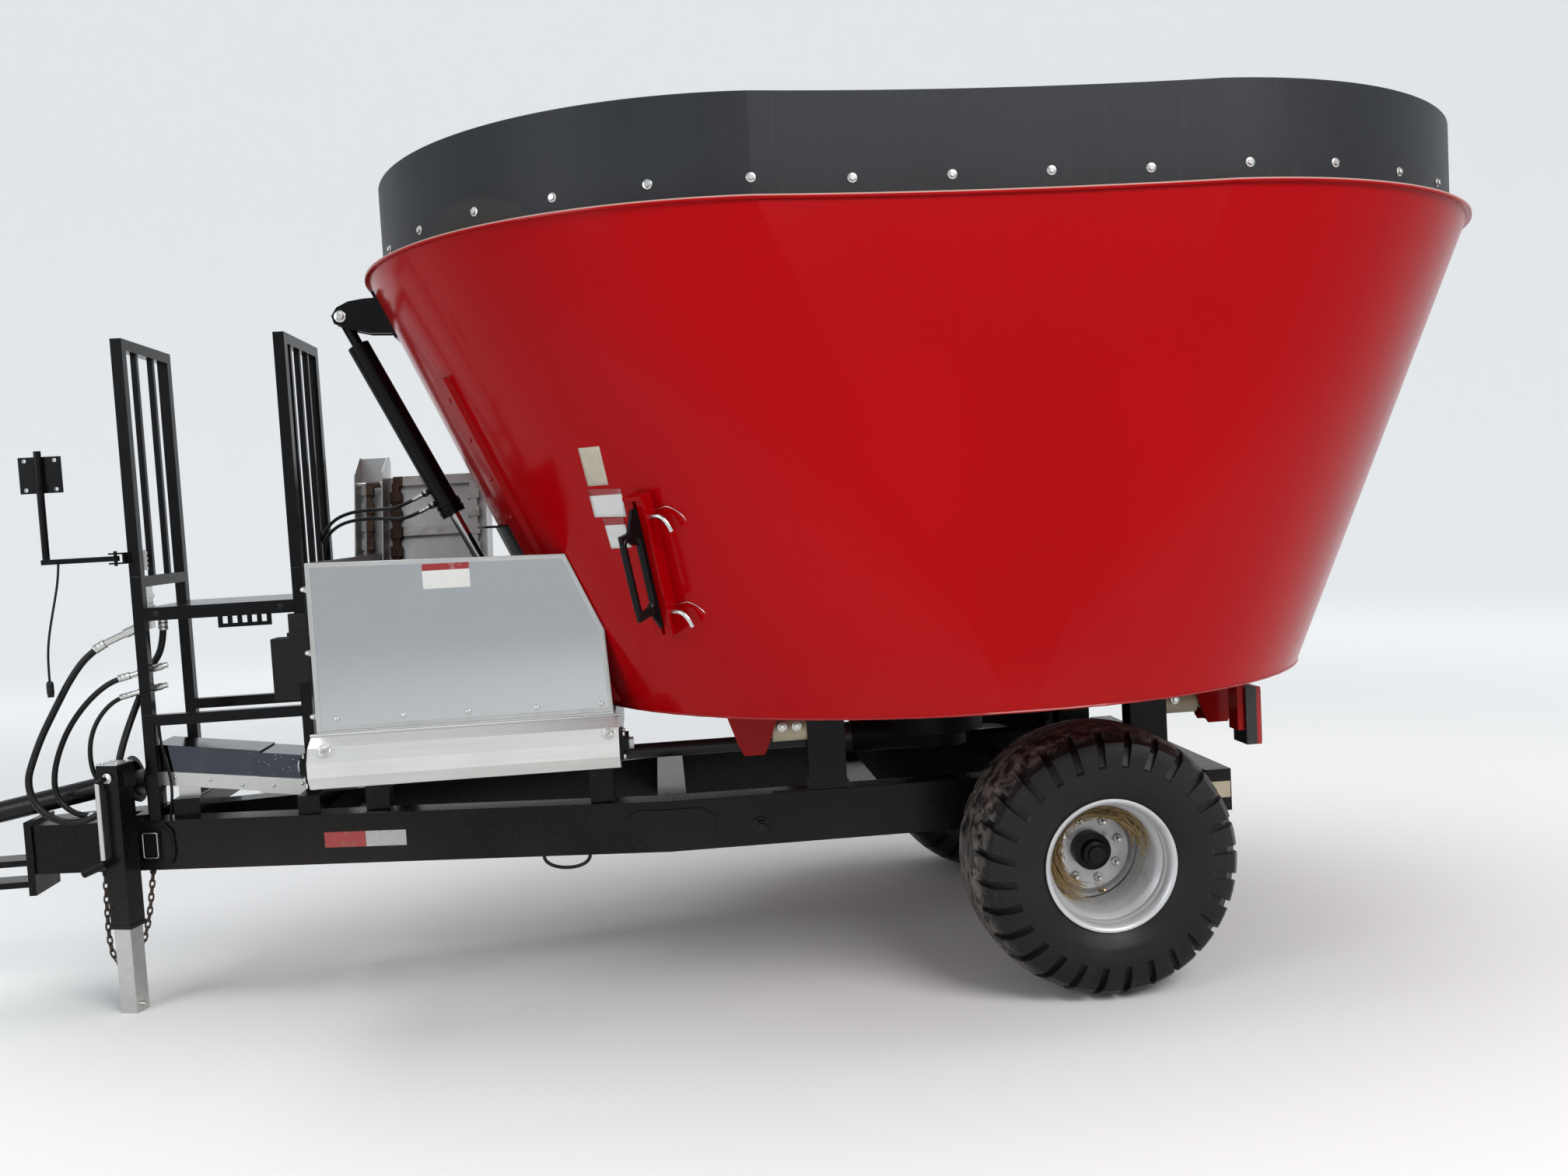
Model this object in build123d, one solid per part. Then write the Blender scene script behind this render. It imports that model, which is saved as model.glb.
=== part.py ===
from build123d import *
import os
from math import atan2, cos, degrees, hypot, pi, radians, sin, sqrt, tan

# Trailed vertical mixer wagon. X runs from the hitch pin to the rear, Y to the machine's right,
# Z up. Sizes are in millimetres. Heights are above the ground while the model is made; each part
# is lowered by HITCH_Z when it is written, which puts the origin in the hitch pin's bore.

os.makedirs("parts", exist_ok=True)

# Hitch and drawbar frame
HITCH_Z = 470
PIN_BORE_R = 17
CLEVIS_PLATE = 22
CLEVIS_GAP = 56
CLEVIS_R = 50
RAIL_TOP = 650
RAIL_H = 175
RAIL_W = 100
RAIL_OUT = 480
APEX_X = 196
APEX_OUT = 87
KINK_X = 2446
REAR_X = 4290
NOSE_PLATE = 25

# Wheels and axle
AXLE_X = 3831
TRACK_HALF = 780
TYRE_R = 437
TYRE_W = 404
LUG_GAP = 24
LUGS_A_SIDE = 28
TREAD_GROOVE = 9
BEAD_R = 197
RIM_HALF_W = 172
RIM_FLANGE_R = 215
DISC_INSET = 62
HUB_R = 62
SPINDLE_R = 32
AXLE_BEAM = 96
WHEEL_CLEAR = 0.4

# Tub: a round floor and a long round-ended rim, with one auger in the middle
TUB_X = 3475
TUB_R = 1280
TUB_WALL = 8
TUB_FLOOR_Z = 1004
FLOOR_PLATE = 14
RIM_Z = 2488
RIM_HALF = 689
FLOOR_HALF = 30
WAIST = 34
RIM_LIP_OUT = 12
RIM_LIP_T = 10
RING_INSET = 54
RING_T = 10
RING_TOP = 2788
BAND_H = 110
BAND_T = 6

# Discharge door at the front of the tub, and its cylinder
DOOR_HALF_W = 540
DOOR_LOW = 1024
DOOR_HIGH = 1620
DOOR_T = 6
DOOR_GAP = 6
DOOR_TRAVEL = 480
GUIDE_HALF = 552
GUIDE_W = 62
GUIDE_DEPTH = 34
GUIDE_T = 8
GUIDE_TOP = 2100
RAM_PIN = (TUB_X - RIM_HALF - TUB_R - 125, RIM_Z - 90)
RAM_GLAND = (TUB_X - RIM_HALF - TUB_R + 219, RIM_Z - 810)
RAM_PORTS = (690, 740)
RAM_PORT_OUT = 64
RAM_EYE_Z = 1160
RAM_R = 40
RAM_ROD_R = 19
RAM_PIN_R = 14
LUG_T = 12
LUG_HALF_GAP = 24
EYE_R = 30
PIN_CLEAR = 0.05

# Auger and its gearbox
AUGER_BASE_Z = TUB_FLOOR_Z + FLOOR_PLATE + 12
AUGER_TOP_Z = 2240
CORE_LOW_R = 270
CORE_TOP_R = 95
FLIGHT_LOW_R = 1110
FLIGHT_TOP_R = 430
FLIGHT_T = 14
FLIGHT_TURNS = 1.75
FLIGHT_STEP = 15
KNIVES = 7
KNIFE_OUT = 90
GEARBOX_R = 215
GEARBOX_LOW = 700
SHAFT_Z_REAR = 745
SHAFT_R = 28
LINE_FRONT = (548, 0, 780)
LINE_BEND = (1300, 0, SHAFT_Z_REAR)
PTO_END = (-330, 0, 622)
PTO_BORE_R = 17.5
BALL_R = 30
BALL_CLEAR = 0.3
CARRIER_X = 598
SHIELD_TOP = (910, 841)
SHIELD_DEPTH = 146

# Cross conveyor and its folding elevator
CONV_FRONT = 1370
CONV_REAR = 2292
CONV_NEAR = -738
CONV_FAR = 262
CONV_WALL_FAR = 395
CONV_TOP = 1536
CONV_FLOOR = 985
CONV_LOW = 832
SHEET_T = 4
PANEL_KINK_Z = 1274
HOOD_OUT = 96
HOOD_OVER = 14
ROLLER_R = 48
ELEV_ANGLE = 74.3
ELEV_LEN = 1000
ELEV_REAR = 1790
ELEV_DEPTH = 190
ELEV_PIN = (365, 930)
CHAIN_W = 46
SLAT_PITCH = 230
ELEV_SLAT_PITCH = 212
LINK_PITCH = 38

# Observation platform
POST = 38
GUARD_FRONT_X = 620
GUARD_REAR_X = 1168
GUARD_NEAR = -140
GUARD_FAR = 330
GUARD_TOP = 2340
DECK_Z = 1400
DECK_WEBS = (880, 914, 948, 982, 1016, 1050)
STEP_Z = 1020
BAR = 20
CROSS_BAR_Z = 1511
OUTRIGGER_TOP = RAIL_TOP + 65
OUTRIGGER_X = (700, 790)

# Jack
JACK_X = 549
JACK_TURN = -18
JACK_Y = -222
JACK_TUBE = 76
JACK_WALL = 6
JACK_TOP = 872
JACK_LOW = 300
JACK_LEG = 63.4

# Weigh gear between the tub and the frame
STAND_TOP = 905
CELL_Z = 858
CELL_R = 38
CELL_LEN = 118
STAND_LEN = 130

# Hay stops
STOP_ANGLE = 53
STOP_Z = 1480
STOP_LEN = 420
STOP_BLADE = 12
STOP_CLEAR = 0.3
STOP_TRAVEL = 120


def block(x, y, z):
    """A box from three pairs of limits."""
    size = [high - low for low, high in (x, y, z)]
    middle = [(high + low) / 2 for low, high in (x, y, z)]
    return Pos(*middle) * Box(*size)


def side_plate(points, y_low, y_high):
    """An outline of (x, z) points, thick from y_low to y_high."""
    plane = Plane(origin=(0, y_low, 0), x_dir=(1, 0, 0), z_dir=(0, -1, 0))
    return extrude(plane * Polygon(*points, align=None), amount=y_high - y_low, dir=(0, 1, 0))


def cross_plate(points, x_low, x_high):
    """An outline of (y, z) points, thick from x_low to x_high."""
    plane = Plane(origin=(x_low, 0, 0), x_dir=(0, 1, 0), z_dir=(1, 0, 0))
    return extrude(plane * Polygon(*points, align=None), amount=x_high - x_low, dir=(1, 0, 0))


def flat_plate(points, z_low, z_high):
    """An outline of (x, y) points, thick from z_low to z_high."""
    return extrude(Pos(0, 0, z_low) * Polygon(*points, align=None), amount=z_high - z_low, dir=(0, 0, 1))


def rod(start, end, radius):
    """A round bar between two points."""
    start, end = Vector(*start), Vector(*end)
    plane = Plane(origin=start, z_dir=end - start)
    return Solid.make_cylinder(radius, (end - start).length, plane)


def bar(start, end, width, height, side=(0, 1, 0)):
    """A rectangular bar between two points; width is measured along side."""
    start, end = Vector(*start), Vector(*end)
    plane = Plane(origin=start, x_dir=side, z_dir=end - start)
    return extrude(plane * Rectangle(width, height), amount=(end - start).length)


def turned(points, x, z):
    """A ring turned about a crosswise axis from (radius, y) points."""
    outline = make_face(Polyline(*[(x + r, y, z) for r, y in points], close=True))
    return revolve(outline, Axis((x, 0, z), (0, 1, 0)), 360)


def upright_turned(points, x):
    """A ring turned about an upright axis from (radius, z) points."""
    outline = make_face(Polyline(*[(x + r, 0, z) for r, z in points], close=True))
    return revolve(outline, Axis((x, 0, 0), (0, 0, 1)), 360)


def other_side(shape):
    return mirror(shape, about=Plane.XZ)


def both_sides(shape):
    return Compound(children=[*shape.solids(), *other_side(shape).solids()])


def group(*shapes):
    return Compound(children=[solid for shape in shapes for solid in shape.solids()])


def save(name, shape):
    solids = shape.solids()
    moved = [Pos(0, 0, -HITCH_Z) * solid for solid in solids]
    export_step(moved[0] if len(moved) == 1 else Compound(children=moved), f"parts/{name}.step")


# Walls of the tub

SLOPE = RIM_HALF / (RIM_Z - TUB_FLOOR_Z)
SLOPE_VECTOR = Vector(-SLOPE, 0, 1).normalized()


def long_round(radius, half, z, waist=0.0):
    """A face with round ends and, where waist isn't 0, sides that bow inwards by it."""
    ends = [(TUB_X - half, -radius), (TUB_X + half, -radius), (TUB_X + half, radius), (TUB_X - half, radius)]
    low_left, low_right, up_right, up_left = [(x, y, z) for x, y in ends]
    if waist:
        near = ThreePointArc(low_left, (TUB_X, -radius + waist, z), low_right)
        far = ThreePointArc(up_right, (TUB_X, radius - waist, z), up_left)
    else:
        near = Line(low_left, low_right)
        far = Line(up_right, up_left)
    right = ThreePointArc(low_right, (TUB_X + half + radius, 0, z), up_right)
    left = ThreePointArc(up_left, (TUB_X - half - radius, 0, z), low_left)
    return make_face([near, right, far, left])


def tub_body(radius):
    floor = long_round(radius, FLOOR_HALF, TUB_FLOOR_Z)
    rim = long_round(radius, RIM_HALF, RIM_Z, WAIST)
    return loft([floor, rim], ruled=True)


def wall_x(z, y=0.0, radius=TUB_R):
    """Where the tub's front wall stands at a height."""
    return TUB_X - FLOOR_HALF - front_run(z) - sqrt(radius ** 2 - y ** 2)


def front_run(z):
    """How far the front wall has gone forward at a height."""
    return (RIM_HALF - FLOOR_HALF) * (z - TUB_FLOOR_Z) / (RIM_Z - TUB_FLOOR_Z)


WALL_RUN = (RIM_HALF - FLOOR_HALF) / (RIM_Z - TUB_FLOOR_Z)


def front_sheet(inner, outer, y_low, y_high, z_low, z_high):
    """A curved sheet that follows the front wall between two radii."""
    centre = TUB_X - FLOOR_HALF - front_run(z_low)

    def at(radius, y):
        return (centre - sqrt(radius ** 2 - y ** 2), y, z_low)

    middle = (y_low + y_high) / 2
    outline = make_face([
        ThreePointArc(at(outer, y_low), at(outer, middle), at(outer, y_high)),
        Line(at(outer, y_high), at(inner, y_high)),
        ThreePointArc(at(inner, y_high), at(inner, middle), at(inner, y_low)),
        Line(at(inner, y_low), at(outer, y_low)),
    ])
    rise = z_high - z_low
    way = Vector(-WALL_RUN * rise, 0, rise)
    return extrude(outline, amount=way.length, dir=way.normalized())


def stop_plane(end):
    """The plane of a hay stop on the wall: end is -1 at the front left, 1 at the rear right."""
    angle = radians(STOP_ANGLE)
    out = Vector(end * cos(angle), end * sin(angle), 0)
    up = Vector(end * WALL_RUN, 0, 1).normalized()
    along = Vector(-out.Y, out.X, 0)
    normal = along.cross(up)
    if normal.dot(out) < 0:
        normal = -normal
    centre_x = TUB_X + end * (FLOOR_HALF + front_run(STOP_Z))
    origin = Vector(centre_x, 0, STOP_Z) + out * TUB_R
    return Plane(origin=origin, x_dir=along, z_dir=normal)


def make_tub():
    inner_r = TUB_R - TUB_WALL
    floor_top = TUB_FLOOR_Z + FLOOR_PLATE
    hollow = tub_body(inner_r) & block((0, 7000), (-2 * TUB_R, 2 * TUB_R), (floor_top, RIM_Z + 50))
    shell = tub_body(TUB_R) - hollow
    lip = extrude(long_round(TUB_R + RIM_LIP_OUT, RIM_HALF, RIM_Z - RIM_LIP_T, WAIST), amount=RIM_LIP_T)
    ring_in = TUB_R - RING_INSET - RING_T
    lip -= extrude(long_round(ring_in - BAND_T, RIM_HALF, RIM_Z - 2 * RIM_LIP_T, WAIST), amount=4 * RIM_LIP_T)
    band = extrude(long_round(ring_in - 0.3, RIM_HALF, RIM_Z - RIM_LIP_T, WAIST), amount=BAND_H)
    band -= extrude(long_round(ring_in - BAND_T, RIM_HALF, RIM_Z - 2 * RIM_LIP_T, WAIST), amount=2 * BAND_H)
    tub = shell + lip + band
    mouth = front_sheet(TUB_R - 60, TUB_R + 30, -DOOR_HALF_W + 30, DOOR_HALF_W - 30, floor_top, DOOR_HIGH - 40)
    tub -= mouth
    tub -= Pos(TUB_X, 0, TUB_FLOOR_Z) * Cylinder(GEARBOX_R - 60, 4 * FLOOR_PLATE)
    for end in (-1, 1):
        slot = stop_plane(end) * Box(STOP_BLADE + 2 * STOP_CLEAR, STOP_LEN - 40, 80)
        tub -= slot
    return tub


def make_extension_ring():
    outer = TUB_R - RING_INSET
    ring = extrude(long_round(outer, RIM_HALF, RIM_Z, WAIST), amount=RING_TOP - RIM_Z)
    return ring - extrude(long_round(outer - RING_T, RIM_HALF, RIM_Z - 10, WAIST), amount=RING_TOP)


def make_door():
    inner = TUB_R + DOOR_GAP
    outer = inner + DOOR_T
    sheet = front_sheet(inner, outer, -DOOR_HALF_W, DOOR_HALF_W, DOOR_LOW, DOOR_HIGH)
    top = front_sheet(outer - 1, outer + 62, -DOOR_HALF_W + 90, DOOR_HALF_W - 90, DOOR_HIGH - 8, DOOR_HIGH)
    low = front_sheet(outer - 1, outer + 40, -DOOR_HALF_W + 70, DOOR_HALF_W - 70, DOOR_LOW + 60, DOOR_LOW + 68)
    door = sheet + top + low
    eye_x = ram_eye_x()
    for y in (-LUG_HALF_GAP - LUG_T, LUG_HALF_GAP):
        low_z, high_z = RAM_EYE_Z - 70, RAM_EYE_Z + 90
        points = [
            (wall_x(low_z, 0, outer) + 3, low_z),
            (wall_x(high_z, 0, outer) + 3, high_z),
            (eye_x - 12, RAM_EYE_Z + EYE_R),
            (eye_x - EYE_R, RAM_EYE_Z),
            (eye_x - 12, RAM_EYE_Z - EYE_R),
        ]
        door += side_plate(points, y, y + LUG_T)
    reach = LUG_HALF_GAP + LUG_T + 6
    door += rod((eye_x, -reach, RAM_EYE_Z), (eye_x, reach, RAM_EYE_Z), RAM_PIN_R)
    return door


def make_guides():
    """Folded strips beside the door that hold its edges."""
    parts = []
    inner = TUB_R + DOOR_GAP + DOOR_T + STOP_CLEAR
    foot = front_sheet(TUB_R, inner + GUIDE_T, GUIDE_HALF, GUIDE_HALF + GUIDE_W, DOOR_LOW, GUIDE_TOP)
    keeper = front_sheet(inner, inner + GUIDE_T, GUIDE_HALF - 42, GUIDE_HALF + GUIDE_W, DOOR_LOW, GUIDE_TOP)
    strip = foot + keeper
    return group(strip, other_side(strip))


# Door cylinder

def ram_direction():
    return Vector(RAM_GLAND[0] - RAM_PIN[0], 0, RAM_GLAND[1] - RAM_PIN[1]).normalized()


def ram_eye_x():
    way = ram_direction()
    return RAM_PIN[0] + (RAM_EYE_Z - RAM_PIN[1]) * way.X / way.Z


def ram_point(distance):
    way = ram_direction()
    return (RAM_PIN[0] + way.X * distance, 0, RAM_PIN[1] + way.Z * distance)


def ram_port(distance):
    """The face of a hose port, on the barrel's lower front side."""
    way = ram_direction()
    x, y, z = ram_point(distance)
    return (x + way.Z * RAM_PORT_OUT, y, z - way.X * RAM_PORT_OUT)


RAM_BARREL = hypot(RAM_GLAND[0] - RAM_PIN[0], RAM_GLAND[1] - RAM_PIN[1])
RAM_CLOSED = hypot(ram_eye_x() - RAM_PIN[0], RAM_EYE_Z - RAM_PIN[1])


def cross_eye(x, z, radius, half, bore):
    eye = rod((x, -half, z), (x, half, z), radius)
    return eye - rod((x, -half - 1, z), (x, half + 1, z), bore)


def make_ram_barrel():
    barrel = rod(ram_point(112), ram_point(RAM_BARREL), RAM_R)
    barrel += rod(ram_point(RAM_BARREL - 46), ram_point(RAM_BARREL + 8), RAM_R + 5)
    barrel += rod(ram_point(20), ram_point(116), 20)
    half = LUG_HALF_GAP - 2
    barrel += rod((RAM_PIN[0], -half, RAM_PIN[1]), (RAM_PIN[0], half, RAM_PIN[1]), EYE_R)
    for distance in RAM_PORTS:
        barrel += rod(ram_point(distance), ram_port(distance), 11)
    barrel -= rod(ram_point(140), ram_point(RAM_BARREL + 20), RAM_ROD_R + 0.1)
    pin = RAM_PIN_R + PIN_CLEAR
    return barrel - rod((RAM_PIN[0], -60, RAM_PIN[1]), (RAM_PIN[0], 60, RAM_PIN[1]), pin)


def make_ram_rod():
    piece = rod(ram_point(RAM_BARREL - 150), ram_point(RAM_CLOSED - 20), RAM_ROD_R)
    half = LUG_HALF_GAP - 2
    eye_x = ram_eye_x()
    piece += rod((eye_x, -half, RAM_EYE_Z), (eye_x, half, RAM_EYE_Z), EYE_R)
    return piece - rod((eye_x, -60, RAM_EYE_Z), (eye_x, 60, RAM_EYE_Z), RAM_PIN_R + 5)


def make_ram_bracket():
    """Two rounded cheeks on a back plate, with the cylinder's upper pin."""
    x, z = RAM_PIN
    parts = []
    foot_low, foot_high = z - 66, z + 64
    cheek = None
    for y in (-LUG_HALF_GAP - LUG_T, LUG_HALF_GAP):
        points = [
            (wall_x(foot_low), foot_low), (wall_x(foot_high), foot_high),
            (x + 84, z + 62), (x + 30, z + 54), (x - 12, z + 34), (x - 32, z + 4),
            (x - 24, z - 24), (x + 20, z - 44), (x + 96, z - 62),
        ]
        plate = side_plate(points, y, y + LUG_T)
        cheek = plate if cheek is None else cheek + plate
    back = front_sheet(TUB_R, TUB_R + 12, -105, 105, foot_low - 26, foot_high + 10)
    reach = LUG_HALF_GAP + LUG_T + 6
    return cheek + back + rod((x, -reach, z), (x, reach, z), RAM_PIN_R)


# Auger

def flight_radius(z):
    share = (z - AUGER_BASE_Z) / (AUGER_TOP_Z - AUGER_BASE_Z)
    return FLIGHT_LOW_R + (FLIGHT_TOP_R - FLIGHT_LOW_R) * share


def core_radius(z):
    share = (z - AUGER_BASE_Z) / (AUGER_TOP_Z - AUGER_BASE_Z)
    return CORE_LOW_R + (CORE_TOP_R - CORE_LOW_R) * share


def flight_height(turn):
    return AUGER_BASE_Z + 20 + turn / FLIGHT_TURNS * (AUGER_TOP_Z - AUGER_BASE_Z - 90)


def make_auger():
    base, top = AUGER_BASE_Z, AUGER_TOP_Z
    core = upright_turned([(0, base), (CORE_LOW_R, base), (CORE_TOP_R, top), (0, top + 40)], TUB_X)
    steps = int(FLIGHT_TURNS * 360 / FLIGHT_STEP)
    sections = []
    for step in range(steps + 1):
        turn = step * FLIGHT_STEP / 360
        angle = 2 * pi * turn
        z = flight_height(turn)
        inner, outer = core_radius(z) - 30, flight_radius(z)
        corners = [(inner, z), (outer, z), (outer, z + FLIGHT_T), (inner, z + FLIGHT_T)]
        points = [(TUB_X + r * cos(angle), r * sin(angle), height) for r, height in corners]
        sections.append(make_face(Polyline(*points, close=True)))
    auger = core + loft(sections, ruled=True)
    for knife in range(KNIVES):
        turn = 0.12 + knife * (FLIGHT_TURNS - 0.3) / (KNIVES - 1)
        z = flight_height(turn)
        edge = flight_radius(z)
        points = [(edge - 120, -60), (edge + KNIFE_OUT, 40), (edge + KNIFE_OUT - 30, 100), (edge - 120, 100)]
        blade = flat_plate(points, z + FLIGHT_T - 1, z + FLIGHT_T + 8)
        auger += Pos(TUB_X, 0, 0) * Rot(0, 0, turn * 360) * blade
    return auger


def make_gearbox():
    top = AUGER_BASE_Z - 4
    low = GEARBOX_LOW
    outline = [
        (0, low), (120, low), (120, low + 40), (GEARBOX_R - 30, low + 60), (GEARBOX_R - 30, low + 150),
        (GEARBOX_R, low + 160), (GEARBOX_R, TUB_FLOOR_Z - 0.3), (GEARBOX_R - 61, TUB_FLOOR_Z - 0.3),
        (GEARBOX_R - 61, top), (60, top), (60, AUGER_BASE_Z - 0.3), (0, AUGER_BASE_Z - 0.3),
    ]
    box = upright_turned(outline, TUB_X)
    nose_x = TUB_X - GEARBOX_R - 110
    return box + rod((nose_x, 0, SHAFT_Z_REAR), (TUB_X - 60, 0, SHAFT_Z_REAR), 62)


# Frame

def tongue_slope():
    return (RAIL_OUT - APEX_OUT) / (KINK_X - APEX_X)


def tongue_outer(x):
    """How far the tongue's outer face is from the middle."""
    return APEX_OUT + (x - APEX_X) * tongue_slope()


def tongue_inner(x):
    return tongue_outer(x) - RAIL_W * sqrt(1 + tongue_slope() ** 2)


def make_frame_side():
    """The left rail: slanted from the nose to the kink, then straight to the rear."""
    slant = RAIL_W * sqrt(1 + tongue_slope() ** 2)
    inside = RAIL_OUT - RAIL_W
    meet = APEX_X + (slant - APEX_OUT) / tongue_slope()
    inner_kink = APEX_X + (inside + slant - APEX_OUT) / tongue_slope()
    points = [
        (APEX_X, -APEX_OUT), (APEX_X, 0), (meet, 0), (inner_kink, -inside),
        (REAR_X, -inside), (REAR_X, -RAIL_OUT), (KINK_X, -RAIL_OUT),
    ]
    return flat_plate(points, RAIL_TOP - RAIL_H, RAIL_TOP)


CROSS_TUBES = (
    # x low, x high, z low, z high
    (1300, 1376, 530, 606),
    (2410, 2510, 500, 650),
    (3120, 3220, 500, 600),
    (3700, 3800, 500, 600),
)


def make_cross_tubes():
    tubes = []
    for x_low, x_high, z_low, z_high in CROSS_TUBES:
        half = (tongue_inner(x_low) if x_low < KINK_X else RAIL_OUT - RAIL_W)
        tubes.append(block((x_low, x_high), (-half, half), (z_low, z_high)))
    return group(*tubes)


def make_rear_beam():
    return block((REAR_X, REAR_X + 90), (-610, 610), (RAIL_TOP - 150, RAIL_TOP - 5))


def make_hitch():
    nose = block((APEX_X - NOSE_PLATE, APEX_X), (-95, 95), (400, RAIL_TOP + 14))
    half = CLEVIS_GAP / 2
    tongue = block((0, APEX_X - NOSE_PLATE), (-CLEVIS_R, CLEVIS_R), (0, CLEVIS_PLATE))
    tongue += Pos(0, 0, CLEVIS_PLATE / 2) * Cylinder(CLEVIS_R, CLEVIS_PLATE)
    tongue -= Pos(0, 0, CLEVIS_PLATE / 2) * Cylinder(PIN_BORE_R, 4 * CLEVIS_PLATE)
    upper = Pos(0, 0, HITCH_Z + half) * tongue
    lower = Pos(0, 0, HITCH_Z - half - CLEVIS_PLATE) * tongue
    return group(nose, upper, lower)


def make_axle():
    top = RAIL_TOP - RAIL_H
    inner_face = TRACK_HALF - TYRE_W / 2 - 12
    beam = block((AXLE_X - AXLE_BEAM / 2, AXLE_X + AXLE_BEAM / 2), (-inner_face, inner_face), (top - AXLE_BEAM, top))
    hub_back = TRACK_HALF - DISC_INSET - 30
    spindle = rod((AXLE_X, -hub_back - 70, TYRE_R), (AXLE_X, hub_back + 70, TYRE_R), SPINDLE_R)
    return beam + spindle


# Wheels

def wheel_y(offset):
    """The left wheel's planes: offset is measured outwards from its middle."""
    return -(TRACK_HALF + offset)


TREAD = (
    # radius under the tread's outline, distance from the middle plane
    (TYRE_R, 0), (TYRE_R - 5, 92), (TYRE_R - 18, 150), (TYRE_R - 40, 184),
)
GROOVE_FLOOR = (
    # distance from the middle plane, how far below the tyre's radius
    (96, -12), (96, 2), (116, 24), (150, 40), (170, 58), (184, 84), (196, 112), (214, 130), (240, 130), (240, -12),
)


def make_tyre():
    half = TYRE_W / 2

    def at(radius, offset):
        return (AXLE_X + radius, wheel_y(offset), TYRE_R)

    bead = [(BEAD_R, RIM_HALF_W - 12), (RIM_FLANGE_R + 2, RIM_HALF_W - 6)]
    top = [(r, y) for r, y in reversed(TREAD[1:])]
    edges = []
    for side in (1, -1):
        foot, flange = [at(r, side * y) for r, y in bead]
        shoulder, inner, crown = [at(r, side * y) for r, y in top]
        edges += [
            Line(foot, flange),
            ThreePointArc(flange, at(0.72 * TYRE_R, side * half), shoulder),
            Line(shoulder, inner),
            Line(inner, crown),
        ]
    edges.append(Line(at(BEAD_R, RIM_HALF_W - 12), at(BEAD_R, 12 - RIM_HALF_W)))
    edges.append(ThreePointArc(at(*TREAD[1]), at(*TREAD[0]), at(TREAD[1][0], -TREAD[1][1])))
    tyre = revolve(make_face(edges), Axis((AXLE_X, 0, TYRE_R), (0, 1, 0)), 360)
    cuts = []
    for y in (-46, 0, 46):
        ring = Pos(AXLE_X, wheel_y(y), TYRE_R) * Rot(90, 0, 0) * Cylinder(TYRE_R + 20, TREAD_GROOVE)
        cuts.append(ring - Pos(AXLE_X, wheel_y(y), TYRE_R) * Rot(90, 0, 0) * Cylinder(TYRE_R - 14, 2 * TREAD_GROOVE))
    for side in (-1, 1):
        for lug in range(LUGS_A_SIDE):
            angle = 360 / LUGS_A_SIDE * (lug + (0.5 if side > 0 else 0))
            profile = [(side * y, TYRE_R - down) for y, down in GROOVE_FLOOR]
            piece = cross_plate(profile, -LUG_GAP / 2, LUG_GAP / 2)
            spot = Pos(AXLE_X, wheel_y(0), TYRE_R) * Rot(0, angle, 0) * Rot(0, 0, side * 8)
            cuts.append(spot * piece)
    return tyre - cuts


def make_rim():
    wall = 7
    edge = RIM_HALF_W
    outline = [
        (BEAD_R - wall, wheel_y(-edge)), (RIM_FLANGE_R, wheel_y(-edge)), (RIM_FLANGE_R, wheel_y(-edge + 5)),
        (BEAD_R - 0.3, wheel_y(-edge + 12)), (BEAD_R - 0.3, wheel_y(edge - 12)), (RIM_FLANGE_R, wheel_y(edge - 5)),
        (RIM_FLANGE_R, wheel_y(edge)), (BEAD_R - wall, wheel_y(edge)),
    ]
    rim = turned(outline, AXLE_X, TYRE_R)
    face = wheel_y(-DISC_INSET)
    disc = turned([
        (SPINDLE_R + WHEEL_CLEAR, face), (135, face), (160, face + 26), (BEAD_R - 3, face + 26),
        (BEAD_R - 3, face + 38), (152, face + 38), (130, face + 12), (SPINDLE_R + WHEEL_CLEAR, face + 12),
    ], AXLE_X, TYRE_R)
    return rim + disc


def make_hub():
    face = wheel_y(-DISC_INSET)
    cap = face - 92
    outline = [
        (0, cap), (26, cap), (30, cap + 10), (HUB_R - 22, cap + 14), (HUB_R - 18, face - 50), (HUB_R, face - 44),
        (HUB_R, face - 0.1), (SPINDLE_R + WHEEL_CLEAR, face - 0.1), (SPINDLE_R + WHEEL_CLEAR, face - 42), (0, face - 42),
    ]
    hub = turned(outline, AXLE_X, TYRE_R)
    back = [
        (SPINDLE_R + WHEEL_CLEAR, face + 12.1), (118, face + 12.1), (118, face + 28), (HUB_R, face + 32),
        (HUB_R, face + 62), (SPINDLE_R + WHEEL_CLEAR, face + 62),
    ]
    return group(hub, turned(back, AXLE_X, TYRE_R))


# Weigh gear: stands on the rails, cells along X, red brackets under the tub

WEIGH_POINTS = (
    # x of the stand's cell face, way the cell points
    (2935, -1),
    (4212, 1),
)


def weigh_y():
    return -(RAIL_OUT - RAIL_W / 2)


def make_stands():
    parts = []
    y = weigh_y()
    for x, way in WEIGH_POINTS:
        low, high = sorted((x, x - way * STAND_LEN))
        points = [(low, RAIL_TOP), (low, STAND_TOP), (high, STAND_TOP), (high, RAIL_TOP)]
        parts.append(side_plate(points, y - 45, y - 33))
        stand = parts.pop() + side_plate(points, y + 33, y + 45)
        stand += block(sorted((x, x - way * 14)), (y - 45, y + 45), (RAIL_TOP, STAND_TOP))
        stand += block((low, high), (y - 45, y + 45), (RAIL_TOP, RAIL_TOP + 12))
        parts.append(stand)
    return both_sides(group(*parts))


def make_cells():
    parts = []
    for x, way in WEIGH_POINTS:
        end = x + way * CELL_LEN
        body = rod((x, weigh_y(), CELL_Z), (end, weigh_y(), CELL_Z), CELL_R)
        neck = rod((end, weigh_y(), CELL_Z), (end + way * 40, weigh_y(), CELL_Z), 24)
        parts.append(body + neck)
    return both_sides(group(*parts))


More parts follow.
